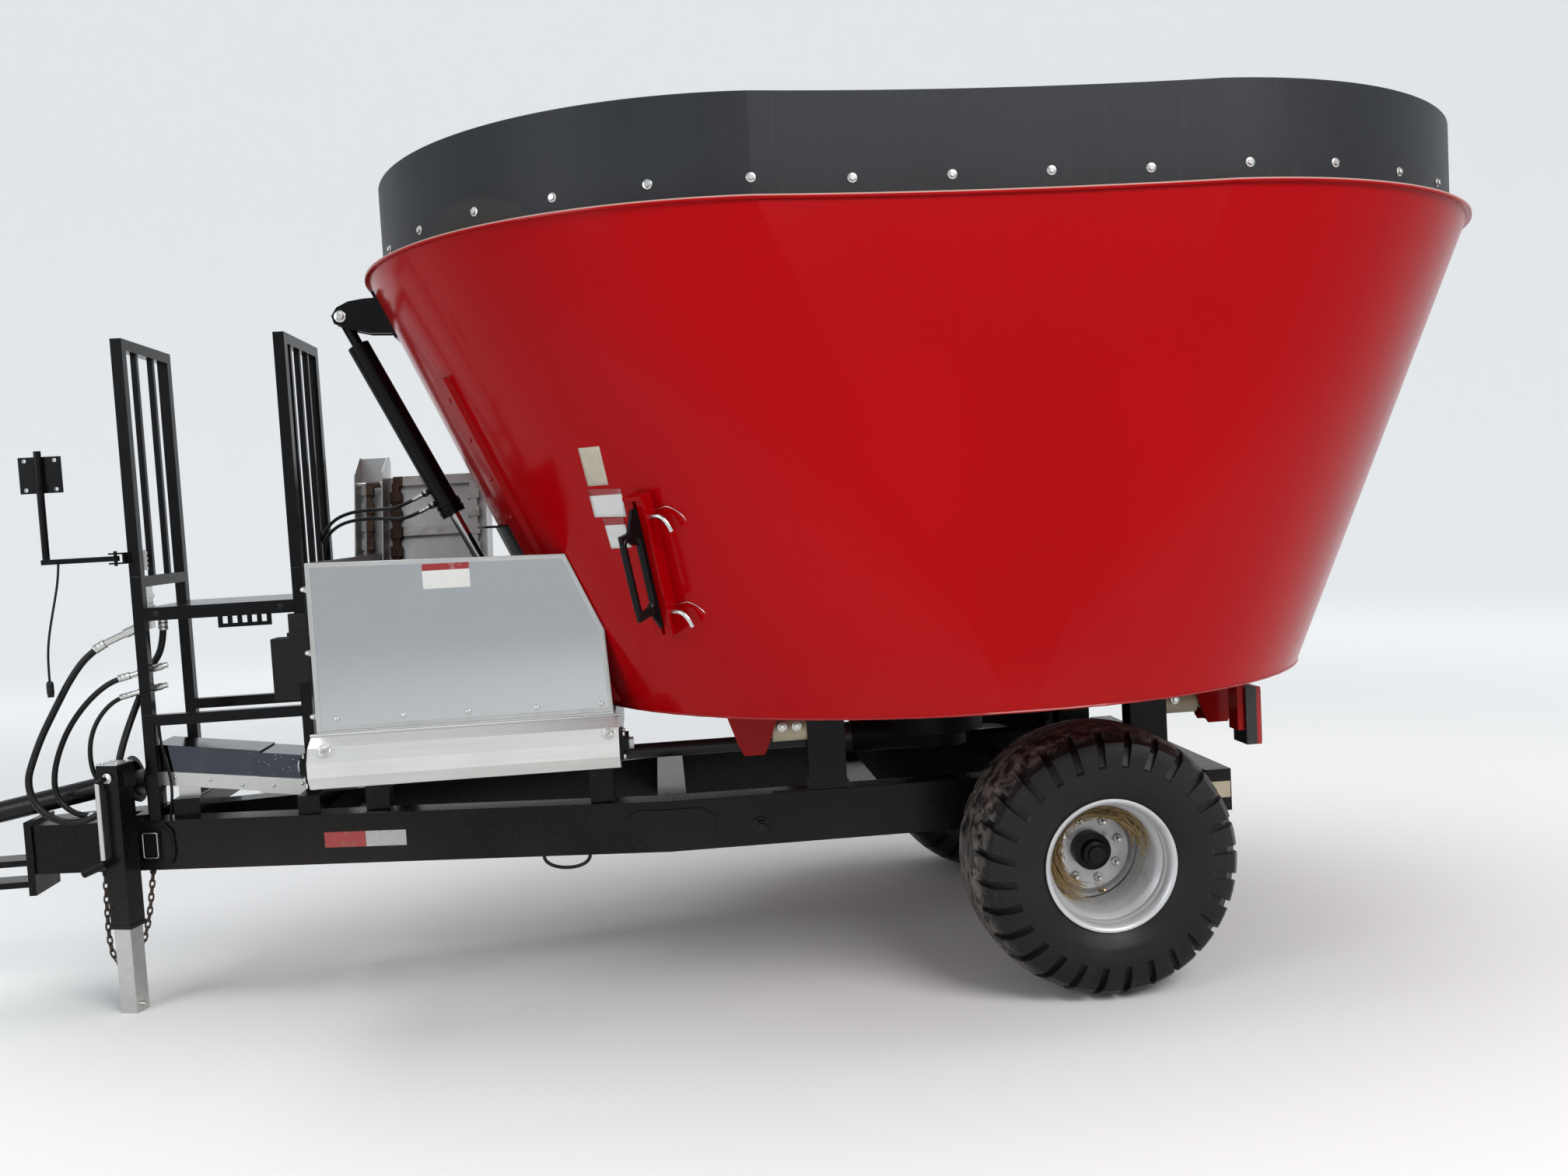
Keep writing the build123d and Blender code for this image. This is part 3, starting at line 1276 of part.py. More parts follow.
save("tail_lamps", both_sides(lamp))
save("conveyor_trough", make_conveyor_bed() + make_elevator_pin())
save("side_panel", make_panel())
save("roller_hood", make_hood())
save("tail_roller", make_tail_roller())
save("roller_bearings", make_bearings())
save("conveyor_chain", make_conveyor_chain())
save("conveyor_stands", make_conveyor_stands())
save("elevator_frame", make_elevator_frame())
save("elevator_chain", make_elevator_chain())
save("chain_guard", make_chain_guard())
guard = make_guard(GUARD_FRONT_X, 2, RAIL_TOP, OUTRIGGER_TOP, CROSS_BAR_Z)
save("guard_front", guard + make_arm_bracket())
save("guard_rear", make_guard(GUARD_REAR_X, 3, OUTRIGGER_TOP, OUTRIGGER_TOP, DECK_Z))
save("platform_deck", make_deck())
save("platform_base", group(make_step(), make_outriggers()))
save("valve_block", make_valve_block())
save("control_box", make_control_box())
save("indicator_arm", make_arm())
receiver, bent_bar = make_receiver()
save("jack_tube", group(make_jack_tube() + make_jack_crank(), receiver, bent_bar))
save("jack_leg", make_jack_leg())
save("drive_shaft_front", make_front_shaft())
save("drive_shaft_rear", make_rear_shaft())
save("drive_shield", make_line_shield())
save("pto_shaft", make_pto_shaft())
save("pto_guard", make_pto_guard())
save("safety_chain", make_safety_chain())
for cord in CORDS:
    save(cord, make_cord(cord))
channel_front, blade_front = make_hay_stop(-1)
channel_rear, blade_rear = make_hay_stop(1)
save("stop_channels", group(channel_front, channel_rear))
save("stop_blade_front", blade_front)
save("stop_blade_rear", blade_rear)
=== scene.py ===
"""Looks of a trailed feed mixer wagon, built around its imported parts.

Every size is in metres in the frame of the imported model: the origin lies in the
bore of the hitch pin, +X points to the rear, -Y to the near side and +Z up.
The ground is at z = -0.470.
"""

import math

import bpy
import numpy as np
from bpy.props import FloatProperty, FloatVectorProperty, IntProperty, PointerProperty
from mathutils import Matrix, Vector


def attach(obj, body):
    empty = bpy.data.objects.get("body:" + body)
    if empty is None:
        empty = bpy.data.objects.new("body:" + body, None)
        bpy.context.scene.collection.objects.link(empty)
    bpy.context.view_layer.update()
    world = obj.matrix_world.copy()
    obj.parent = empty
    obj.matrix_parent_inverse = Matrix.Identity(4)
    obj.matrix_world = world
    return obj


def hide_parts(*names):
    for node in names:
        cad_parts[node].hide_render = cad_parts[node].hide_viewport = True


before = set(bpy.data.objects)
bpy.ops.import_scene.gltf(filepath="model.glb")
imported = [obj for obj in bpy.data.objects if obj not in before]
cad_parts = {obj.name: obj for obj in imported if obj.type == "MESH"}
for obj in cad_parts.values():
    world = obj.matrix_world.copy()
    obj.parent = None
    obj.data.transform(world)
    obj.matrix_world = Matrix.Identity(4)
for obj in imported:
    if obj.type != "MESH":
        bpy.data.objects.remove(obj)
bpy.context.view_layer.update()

bl_info = {
    "name": "Feed mixer looks",
    "version": (1, 0, 0),
    "blender": (4, 5, 0),
    "location": "3D View > Sidebar > Mixer",
    "description": "Finishes, small fittings, labels, cords and dirt of a trailed feed mixer wagon",
    "category": "Object",
}

GROUND_Z = -0.470
ROOT = "wagon"
MATERIALS = {}

# Tub: its upright axis, its floor and rim, and the circle that each end of the wall is
TUB_X = 3.475
FLOOR_Z, FLOOR_HALF = 0.534, 0.030
RIM_Z, RIM_HALF, WAIST = 2.018, 0.689, 0.034
WALL_R = 1.280
WALL_RUN = 0.659 / 1.484
RING_R, RING_TOP = 1.226, 2.317
# Hay stops: their angle round the wall, the height of their middle, and how far in front
# of the tub's axis the wall's circle has its middle there
STOP_ANGLE = math.radians(53)
STOP_Z, STOP_SET = 1.010, 0.2414

WHEEL_X, WHEEL_Z = 3.831, -0.033
WHEEL_Y, DISC_Y = 0.780, 0.718
PANEL_Y = -0.742
ROLLER_Y, ROLLER_Z = -0.768, 0.439
LAMP_X, LAMP_Y, LAMP_Z = 4.4520, 0.652, 0.369
PLATE_X, PLATE_Z = 0.356, 1.411
STAGE_X = 2.4

CAMERA_PLACE = (2.4637, -4.9815, 1.1511)
CAMERA_YAW, CAMERA_PITCH, CAMERA_ROLL = 0.0928, -0.0592, -0.0558

DUST = (0.27, 0.215, 0.15)
RUST = (0.11, 0.042, 0.018)
CHAIN_RUST = (0.13, 0.058, 0.028)
SOFT_BLACK = (0.0036, 0.0037, 0.0042)
LABEL_RED = (0.25, 0.008, 0.010)

LEVEL_X, LEVEL_Y, UPWARD = (1, 0, 0), (0, 1, 0), (0, 0, 1)
FORWARD, NEARWARD = (-1, 0, 0), (0, -1, 0)


# Sizes and colours that a user would change

def paint(name, about, tone):
    return FloatVectorProperty(name=name, description=about, subtype="COLOR", size=3,
                               min=0.0, max=1.0, default=tone)


def distance(name, about, low, high, usual):
    return FloatProperty(name=name, description=about, subtype="DISTANCE", unit="LENGTH",
                         min=low, max=high, default=usual)


def number(name, about, low, high, usual):
    return IntProperty(name=name, description=about, min=low, max=high, default=usual)


def power(name, about, usual):
    return FloatProperty(name=name, description=about, unit="POWER", min=0.0, max=5000.0,
                         default=usual)


class MixerColours(bpy.types.PropertyGroup):
    tub: paint("Tub paint", "Gloss paint of the tub, its feet and the door guides",
               (0.375, 0.0004, 0.0022))
    chassis: paint("Chassis paint", "Paint of the rails, guards, door and jack",
                   (0.0030, 0.0032, 0.0037))
    belt: paint("Belt rubber", "Rubber of the ring that raises the tub's rim",
                (0.0135, 0.0152, 0.0182))
    label: paint("Label", "Face of the blank labels", (0.62, 0.62, 0.60))
    dust: FloatProperty(
        name="Dust", description="How thick the dust lies on the low parts",
        subtype="FACTOR", min=0.0, max=1.0, default=0.20)


class MixerFittings(bpy.types.PropertyGroup):
    ring_bolts: number("Ring bolts", "Bolts that hold the rubber ring to the tub", 12, 80, 36)
    ring_bolt_rise: distance("Bolt height", "How far the ring's bolts stand above the rim",
                             0.02, 0.2, 0.059)
    wheel_nuts: number("Wheel nuts", "Nuts on each wheel's disc", 4, 12, 8)
    nut_circle: distance("Nut circle", "Radius of the circle that the wheel nuts stand on",
                         0.08, 0.13, 0.102)
    tape_height: distance("Tape height", "Height of the reflecting tape on the rails",
                          0.02, 0.1, 0.054)
    straw: number("Straw", "Straws caught in the left wheel", 0, 4000, 1500)


class MixerStage(bpy.types.PropertyGroup):
    lens: FloatProperty(
        name="Lens", description="Focal length of the camera on a sensor 36 mm wide",
        unit="CAMERA", min=10.0, max=200.0, default=30.5)
    key: power("Key light", "Power of the large lamp to the right of the camera", 620.0)
    fill: power("Fill light", "Power of the lamp to the left of the camera", 200.0)
    over: power("Top light", "Power of the lamp over the tub", 520.0)
    sky: FloatProperty(
        name="Sky", description="Strength of the light from all round",
        min=0.0, max=3.0, default=0.62)


# Materials

class Shade:
    """One procedural material whose layers are mixed over a base on the surface shader.

    Every mask is read from Object coordinates, so it stays with the piece in any pose.
    A value that no layer changes is set on the shader's own socket.
    """

    def __init__(self, name, colour, rough, metal=0.0, specular=0.5, coat=0.0, coat_rough=0.08):
        self.name = name
        self.material = bpy.data.materials.new(name)
        self.material.use_nodes = True
        self.material.diffuse_color = (*colour, 1.0)
        self.tree = self.material.node_tree
        self.shader = self.tree.nodes["Principled BSDF"]
        self.place = self.add("ShaderNodeTexCoord").outputs["Object"]
        self.axes = self.add("ShaderNodeSeparateXYZ", {0: self.place}).outputs
        self.parts = {"Base Color": tuple(colour), "Roughness": rough, "Metallic": metal,
                      "Specular IOR Level": specular, "Coat Weight": coat,
                      "Coat Roughness": coat_rough}
        self.height = None

    def add(self, kind, sockets=None, **settings):
        """A node with its settings, and the named sockets linked or set."""
        node = self.tree.nodes.new(kind)
        for name, value in settings.items():
            setattr(node, name, value)
        for name, value in (sockets or {}).items():
            self.put(value, node.inputs[name])
        return node

    def put(self, value, socket):
        """Links a node's output to a socket, or sets the socket to a number or a tuple."""
        if isinstance(value, bpy.types.NodeSocket):
            self.tree.links.new(value, socket)
        else:
            socket.default_value = (*value, 1.0) if socket.type == "RGBA" else value

    def math(self, kind, a, b=None, clamp=False):
        sockets = {0: a} if b is None else {0: a, 1: b}
        return self.add("ShaderNodeMath", sockets, operation=kind, use_clamp=clamp).outputs[0]

    def vector(self, kind, a, b=None):
        sockets = {0: a} if b is None else {0: a, 1: b}
        node = self.add("ShaderNodeVectorMath", sockets, operation=kind)
        return node.outputs["Value" if kind in ("LENGTH", "DOT_PRODUCT") else "Vector"]

    def spread(self, value, low, high):
        """Straight ramp of a value: 0 at low and 1 at high, held beyond them."""
        sockets = {"Value": value, "From Min": low, "From Max": high}
        return self.add("ShaderNodeMapRange", sockets, clamp=True).outputs["Result"]

    def rest_of(self, mask):
        return self.math("SUBTRACT", 1.0, mask)

    def stretched(self, stretch):
        sockets = {"Vector": self.place, "Scale": stretch}
        return self.add("ShaderNodeMapping", sockets).outputs["Vector"]

    def noise(self, scale, detail, seed, stretch=(1, 1, 1), coarse=0.55):
        sockets = {"Vector": self.stretched(stretch), "W": seed, "Scale": scale,
                   "Detail": detail, "Roughness": coarse}
        return self.add("ShaderNodeTexNoise", sockets, noise_dimensions="4D").outputs["Fac"]

    def cells(self, scale):
        sockets = {"Vector": self.place, "Scale": scale}
        return self.add("ShaderNodeTexVoronoi", sockets).outputs

    def from_point(self, centre):
        """Object coordinates measured from another point."""
        return self.vector("SUBTRACT", self.place, centre)

    def normal(self):
        return self.add("ShaderNodeNewGeometry").outputs["Normal"]

    def rounding(self, radius):
        """The normal that the surface would have with its edges rounded."""
        return self.add("ShaderNodeBevel", {"Radius": radius}, samples=4).outputs[0]

    def between(self, axis, low, high, soft=0.001):
        """1 where a coordinate lies between two values and 0 elsewhere."""
        up = self.spread(self.axes[axis], low - soft, low + soft)
        down = self.spread(self.axes[axis], high + soft, high - soft)
        return self.math("MULTIPLY", up, down)

    def low(self, top, bottom):
        """1 below the bottom height and 0 above the top height."""
        return self.spread(self.axes["Z"], top, bottom)

    def ring(self, inner, outer):
        """0 within the inner and 1 beyond the outer distance from the wheels' axis."""
        x = self.math("SUBTRACT", self.axes["X"], WHEEL_X)
        z = self.math("SUBTRACT", self.axes["Z"], WHEEL_Z)
        square = self.math("ADD", self.math("MULTIPLY", x, x), self.math("MULTIPLY", z, z))
        return self.spread(self.math("SQRT", square), inner, outer)

    def inward(self):
        """1 on faces that look towards the tub's upright axis and 0 on those that look away."""
        flat = self.vector("MULTIPLY", self.from_point((TUB_X, 0.0, 0.0)), (1.0, 1.0, 0.0))
        return self.spread(self.vector("DOT_PRODUCT", flat, self.normal()), 0.05, -0.05)

    def edges(self, radius):
        """1 at sharp edges: how far the normal turns within a small radius."""
        dot = self.vector("DOT_PRODUCT", self.rounding(radius), self.normal())
        return self.spread(self.rest_of(dot), 0.02, 0.14)

    def all_of(self, *masks):
        out = masks[0]
        for mask in masks[1:]:
            out = self.math("MULTIPLY", out, mask)
        return out

    def blend(self, mask, a, b, kind):
        node = self.add("ShaderNodeMix", {0: mask}, data_type=kind)
        pair = [s for s in node.inputs if s.enabled and s.name in ("A", "B")]
        self.put(a, pair[0])
        self.put(b, pair[1])
        return next(s for s in node.outputs if s.enabled)

    def layer(self, mask, colour=None, rough=None, metal=None, lift=0.0, amount=1.0):
        """Lays one finish over what is there, as strongly as its mask says."""
        mask = self.math("MULTIPLY", mask, amount, clamp=True)
        for name, value in (("Base Color", colour), ("Roughness", rough), ("Metallic", metal)):
            if value is not None and value != self.parts[name]:
                kind = "RGBA" if name == "Base Color" else "FLOAT"
                value = tuple(value) if kind == "RGBA" else float(value)
                self.parts[name] = self.blend(mask, self.parts[name], value, kind)
        if lift:
            self.raise_by(mask, lift)
        return self

    def patches(self, noise, edge, *finish, within=(), stretch=(1, 1, 1), coarse=0.55, **more):
        """Lays a finish where a noise rises from one edge value to the other.

        The noise is (scale, detail, seed), and masks in within bound the patches.
        """
        mask = self.spread(self.noise(*noise, stretch, coarse), *edge)
        return self.layer(self.all_of(*within, mask), *finish, **more)

    def raise_by(self, mask, lift):
        """Adds a mask to the relief, lift being its height in millimetres."""
        part = self.math("MULTIPLY", mask, lift)
        self.height = part if self.height is None else self.math("ADD", self.height, part)
        return self

    def relief(self, scale, detail, seed, lift, stretch=(1, 1, 1)):
        return self.raise_by(self.noise(scale, detail, seed, stretch), lift)

    def done(self, round_edges):
        """Joins the layers to the shader and keeps the material under its name."""
        for name, value in self.parts.items():
            self.put(value, self.shader.inputs[name])
        normal = self.rounding(round_edges)
        if self.height is not None:
            sockets = {"Strength": 1.0, "Distance": 0.001, "Height": self.height,
                       "Normal": normal}
            normal = self.add("ShaderNodeBump", sockets).outputs[0]
        self.put(normal, self.shader.inputs["Normal"])
        MATERIALS[self.name] = self.material


def scaled(colour, by, more=0.0):
    return tuple(min(1.0, by * v + more) for v in colour)


def dusty(s, amount, top=0.35, bottom=-0.35, seed=1):
    """Dust and dried splashes that grow thicker towards the ground."""
    s.patches((1.4, 3, seed), (0.40, 0.85), DUST, 0.85, 0.0,
              within=[s.low(top, bottom)], amount=amount)
    s.patches((130, 3, seed + 3), (0.60, 0.68), DUST, 0.9, 0.0, 0.2,
              within=[s.low(top + 0.3, bottom)], amount=amount * 0.6)


def gloss_red(name, colour, dust):
    """Deep gloss red: slow changes of tone, fine runs and specks, and paler edges."""
    s = Shade(name, colour, 0.14, specular=0.08, coat=0.05, coat_rough=0.03)
    deep = scaled(colour, 0.72)
    s.patches((0.55, 2, 2), (0.38, 0.68), deep, 0.24, amount=0.8)
    s.patches((7, 4, 5), (0.60, 0.80), deep, 0.34, amount=0.25, stretch=(1, 1, 0.12))
    s.patches((160, 3, 7), (0.71, 0.77), DUST, 0.8, amount=0.12)
    s.relief(230, 2, 3, 0.02).relief(1.6, 2, 9, 1.3)
    dusty(s, 0.25 * dust, 0.72, 0.46)
    s.layer(s.edges(0.0035), scaled(colour, 1.25, 0.02), 0.40, amount=0.35)
    return s


def tub_paint(colour, dust):
    """The gloss red worn to steel inside, with a pale line where the rim meets the rubber."""
    s = gloss_red("tub_red", colour, dust)
    inward = s.inward()
    rim = s.all_of(s.between("Z", RIM_Z - 0.004, RIM_Z + 0.010), s.rest_of(inward))
    s.layer(rim, (0.52, 0.34, 0.30), 0.5, 0.0, amount=0.9)
    inside = s.all_of(inward, s.between("Z", 0.545, RIM_Z - 0.02, 0.02))
    s.layer(s.all_of(inside, s.low(1.5, 0.9)), (0.20, 0.185, 0.17), 0.38, 0.8, amount=0.85)
    s.patches((9, 5, 14), (0.36, 0.60), (0.28, 0.24, 0.19), 0.55, 0.3, 0.1,
              within=[inside], amount=0.5, stretch=(1, 1, 0.25))
    s.done(0.003)


def gloss_black(name, tone, rough, dust, round_edges, top=0.20):
    """Clean machine paint: fine orange peel, thin scratches, a little dust, worn edges."""
    s = Shade(name, tone, rough, specular=0.14)
    s.patches((1.6, 3, 1), (0.40, 0.75), scaled(tone, 1.7), rough + 0.08, amount=0.6)
    s.patches((75, 5, 4), (0.73, 0.77), RUST, 0.8, lift=-0.05, amount=0.08)
    s.patches((210, 3, 6), (0.70, 0.76), (0.05, 0.05, 0.05), 0.45,
              amount=0.20, stretch=(1, 1, 0.5))
    s.relief(300, 2, 8, 0.04)
    dusty(s, dust, top, -0.30)
    s.patches((35, 4, 12), (0.48, 0.66), (0.09, 0.09, 0.088), 0.38, 0.3,
              within=[s.edges(0.003)], amount=0.35)
    s.done(round_edges)


def steel(name, tone, rough, metal, seed, smear=0.5, dirt=0.2, rust=0.12, brushed=(1, 1, 1),
          spangle=0.0):
    """Bare or zinc-coated steel: dull patches, brushing, spangle, a few rust specks."""
    s = Shade(name, tone, rough, metal)
    dull = scaled(tone, 0.74)
    s.patches((5, 4, seed), (0.42, 0.70), dull, rough + 0.14, amount=smear)
    if spangle:
        s.layer(s.cells(90)["Color"], dull, rough + 0.10, amount=spangle)
    s.patches((42, 3, seed + 2), (0.5, 0.72), dull, rough + 0.08, amount=0.35, stretch=brushed)
    s.patches((38, 5, seed + 5), (0.69, 0.74), RUST, 0.85, 0.1, 0.05, amount=rust)
    s.relief(240, 3, seed + 7, 0.03, brushed)
    dusty(s, dirt, 0.6, -0.2, seed + 1)
    s.layer(s.edges(0.0025), scaled(tone, 1.25), rough, amount=0.4)
    s.done(0.0015)


def mirror_sheet():
    """Polished sheet: nearly clean, with a long soft waviness, faint smears and specks."""
    s = Shade("stainless", (0.47, 0.48, 0.49), 0.04, 1.0)
    s.patches((2.2, 4, 2), (0.48, 0.75), (0.43, 0.44, 0.45), 0.07, amount=0.6)
    s.patches((30, 4, 4), (0.68, 0.78), (0.38, 0.38, 0.36), 0.25,
              amount=0.2, stretch=(1, 1, 0.2))
    s.patches((110, 4, 6), (0.71, 0.76), DUST, 0.8, 0.0, amount=0.3)
    s.relief(1.3, 1, 8, 2.4).relief(350, 2, 9, 0.004, (1, 1, 8))
    s.patches((22, 5, 13), (0.50, 0.66), DUST, 0.8, 0.0,
              within=[s.low(0.60, 0.53)], amount=0.12)
    s.done(0.0012)


def shield_steel():
    """Polished sheet with a dark tone that is a painted reflection, dried drops near its rear end,
    and a lower folded flange painted pale as a painted highlight on a part in shade.
    """
    # Painted reflection: the dark base colour stands in for the dark reflections on the shield's
    # polished face.
    s = Shade("shield_steel", (0.050, 0.056, 0.068), 0.12, 1.0)
    s.patches((9, 4, 3), (0.50, 0.75), (0.085, 0.090, 0.10), 0.22,
              amount=0.5, stretch=(1, 1, 0.4))
    drops = s.spread(s.cells(75)["Distance"], 0.16, 0.10)
    s.layer(s.all_of(drops, s.spread(s.axes["X"], 0.90, 1.05)), (0.55, 0.55, 0.54), 0.5, 0.0,
            amount=0.8)
    # Painted highlight: below this slanted line the lower flange is painted pale, standing in for
    # light on a flange that lies in shade.
    slant = s.math("ADD", s.axes["Z"], s.math("MULTIPLY", s.axes["X"], 0.128))
    s.layer(s.spread(slant, 0.427, 0.424), (0.52, 0.52, 0.50), 0.32, 0.8)
    s.relief(2.0, 1, 8, 1.2)
    s.done(0.0012)


def belt_rubber(colour):
    """Weathered belt: chalky streaks that run down, faint rub marks and paler cut edges."""
    s = Shade("dark_rubber", colour, 0.46, specular=0.22)
    s.patches((2.6, 5, 2), (0.42, 0.72), scaled(colour, 1.7), 0.6,
              amount=0.75, stretch=(1, 1, 0.6))
    s.patches((26, 5, 5), (0.60, 0.76), (0.060, 0.059, 0.058), 0.8,
              amount=0.30, stretch=(1, 1, 0.12))
    stain = s.vector("LENGTH", s.from_point((1.97, -0.915, 1.76)))
    s.layer(s.spread(stain, 0.366, 0.352), (0.042, 0.037, 0.028), 0.6, amount=0.55)
    s.patches((1.1, 3, 11), (0.55, 0.62), (0.040, 0.036, 0.031), 0.7, amount=0.25)
    s.relief(7, 4, 3, 1.2).relief(180, 3, 4, 0.12)
    s.layer(s.edges(0.005), (0.11, 0.11, 0.115), 0.75, amount=0.5)
    s.done(0.002)


def tread_rubber():
    """Tyre: smooth dark flanks with fine rings, and dust caked on the tread's faces and ribs, made
    pale partly as painted light on a tread that lies in shade.
    """
    s = Shade("tyre_rubber", (0.0060, 0.0065, 0.0075), 0.40, specular=0.24)
    s.patches((7, 4, 1), (0.42, 0.72), (0.010, 0.0102, 0.011), 0.52, amount=0.8)
    # Caked dust on the tread, partly painted light: its pale colour also brightens a tread that
    # lies in shade.
    s.patches((26, 6, 3), (0.44, 0.58), (0.20, 0.18, 0.155), 0.95,
              within=[s.ring(0.405, 0.425)], coarse=0.7, lift=1.0, amount=0.8)
    s.patches((120, 4, 5), (0.58, 0.70), (0.16, 0.14, 0.11), 0.95,
              within=[s.ring(0.30, 0.42)], lift=0.3, amount=0.28)
    s.patches((5, 5, 7), (0.58, 0.82), (0.045, 0.042, 0.038), 0.75, amount=0.25)
    sockets = {"Scale": 9.0, "Distortion": 0.0,
               "Vector": s.from_point((WHEEL_X, 0.0, WHEEL_Z))}
    ribs = s.add("ShaderNodeTexWave", sockets, wave_type="RINGS", rings_direction="Y")
    flank = s.all_of(s.rest_of(s.ring(0.345, 0.36)), s.ring(0.225, 0.24))
    s.raise_by(s.all_of(ribs.outputs["Fac"], flank), 0.4).relief(260, 3, 9, 0.10)
    s.done(0.003)


def rim_paint():
    """Silver wheel paint with dried mud and straw dust low in the dish."""
    s = Shade("rim_silver", (0.56, 0.57, 0.58), 0.34, 0.35)
    s.patches((6, 4, 1), (0.44, 0.72), (0.46, 0.465, 0.47), 0.44)
    s.patches((14, 6, 4), (0.55, 0.68), (0.22, 0.165, 0.105), 0.95, 0.0, 0.5,
              within=[s.rest_of(s.ring(0.174, 0.182))], coarse=0.7, amount=0.55)
    s.patches((60, 5, 6), (0.68, 0.74), RUST, 0.9, 0.0, amount=0.25)
    s.relief(160, 3, 3, 0.05)
    s.layer(s.edges(0.003), (0.66, 0.66, 0.66), 0.3, 0.6, amount=0.5)
    s.done(0.002)


def rusty_chain():
    """Roller and link chain: dark oily rust with bright rubbed edges."""
    s = Shade("chain_steel", (0.040, 0.024, 0.016), 0.52, 0.5)
    s.patches((38, 5, 2), (0.46, 0.66), (0.12, 0.052, 0.025), 0.85, 0.05, 0.2, amount=0.8)
    s.patches((21, 4, 5), (0.52, 0.66), (0.014, 0.012, 0.010), 0.35, 0.2, amount=0.8)
    s.layer(s.edges(0.003), (0.24, 0.21, 0.18), 0.35, 0.9, amount=0.6)
    s.relief(150, 4, 8, 0.25)
    s.done(0.0015)


def lift_chain():
    """The elevator's chain: rusty near strand, and slats worn to pale steel behind it."""
    s = Shade("lift_chain", (0.050, 0.028, 0.018), 0.55, 0.4)
    s.patches((38, 5, 2), (0.46, 0.66), CHAIN_RUST, 0.85, 0.05, 0.2, amount=0.8)
    slat = s.spread(s.axes["X"], 1.444, 1.447)
    s.layer(slat, (0.46, 0.45, 0.43), 0.40, 0.7)
    s.patches((16, 5, 5), (0.50, 0.66), (0.22, 0.17, 0.13), 0.7, 0.2,
              within=[slat], amount=0.5)
    s.relief(150, 4, 8, 0.25)
    s.done(0.0015)


def guard_sheet():
    """Zinc-coated channel and the rusty chain that runs in front of its back.

    The chain is where X is over it and the distance from the elevator's bed is above zero.
    """
    s = Shade("guard_sheet", (0.50, 0.50, 0.49), 0.32, 0.85)
    s.patches((9, 4, 2), (0.46, 0.72), (0.36, 0.35, 0.33), 0.5,
              amount=0.6, stretch=(1, 1, 0.3))
    turn = math.radians(74.3)
    back = s.math("MULTIPLY", s.math("SUBTRACT", s.axes["Y"], 0.365), -math.sin(turn))
    up = s.math("MULTIPLY", s.math("SUBTRACT", s.axes["Z"], 0.460), math.cos(turn))
    chain = s.all_of(s.spread(s.math("ADD", back, up), -0.012, -0.010),
                     s.between("X", 1.298, 1.356))
    s.layer(chain, (0.050, 0.028, 0.018), 0.6, 0.3)
    s.patches((40, 5, 6), (0.46, 0.64), CHAIN_RUST, 0.85, 0.05, 0.2, within=[chain])
    s.relief(160, 3, 8, 0.08)
    s.done(0.0015)


def lamp_body():
    """Tail lamp: black housing and a ribbed red lens on its rear face."""
    s = Shade("lamp_red", (0.012, 0.012, 0.013), 0.42)
    lens = s.spread(s.axes["X"], 4.436, 4.438)
    s.layer(lens, (0.34, 0.006, 0.006), 0.12)
    rib = s.math("SINE", s.math("MULTIPLY", s.axes["Z"], 620.0))
    s.raise_by(s.all_of(lens, rib), 0.35)
    s.patches((70, 4, 2), (0.60, 0.72), DUST, 0.9, amount=0.25)
    s.relief(280, 2, 4, 0.04)
    s.done(0.0015)


def small_part(name, colour, rough, seed, grime, metal=0.0, coat=0.0):
    """A small painted or moulded part with handling marks, grime and fine relief."""
    s = Shade(name, colour, rough, metal, 0.25, coat)
    s.patches((14, 4, seed), (0.48, 0.72), scaled(colour, 0.62), min(1.0, rough + 0.15),
              amount=0.5)
    s.patches((75, 5, seed + 2), (0.60, 0.72), DUST, 0.9, 0.0, 0.08, amount=grime)
    s.layer(s.edges(0.002), scaled(colour, 1.4, 0.02), rough, amount=0.35)
    s.relief(280, 2, seed + 4, 0.05)
    s.done(0.0012)


def reflecting_tape(name, colour):
    """Tape with small reflecting cells, scratches and dust."""
    s = Shade(name, colour, 0.30, coat=0.5)
    s.layer(s.spread(s.cells(210)["Distance"], 0.25, 0.55), scaled(colour, 0.72), 0.45,
            amount=0.6)
    s.patches((60, 4, 3), (0.60, 0.72), scaled(colour, 0.5), 0.6,
              amount=0.4, stretch=(0.2, 1, 1))
    s.patches((30, 5, 6), (0.55, 0.70), DUST, 0.9, amount=0.3)
    s.relief(240, 2, 5, 0.03)
    s.done(0.0006)


def header_label(name, face, split):
    """Blank label with a red strip above a given height."""
    s = Shade(name, face, 0.34, coat=0.3)
    s.layer(s.spread(s.axes["Z"], split - 0.0006, split + 0.0006), LABEL_RED, 0.34)
    s.patches((26, 4, 3), (0.55, 0.72), scaled(face, 0.8), 0.5, amount=0.3)
    s.patches((90, 4, 5), (0.64, 0.72), DUST, 0.8, amount=0.2)
    s.relief(300, 2, 7, 0.02)
    s.done(0.0005)


# Surfaces, worked out as whole arrays

def quads(rows, columns, closed_rows=False, closed_columns=True):
    """Faces between neighbouring points of a grid that is stored row by row."""
    i = np.arange(rows if closed_rows else rows - 1)[:, None]
    j = np.arange(columns if closed_columns else columns - 1)[None, :]
    i_next, j_next = (i + 1) % rows, (j + 1) % columns
    corners = (i * columns + j, i * columns + j_next,
               i_next * columns + j_next, i_next * columns + j)
    return np.stack(np.broadcast_arrays(*corners), -1).reshape(-1, 4)


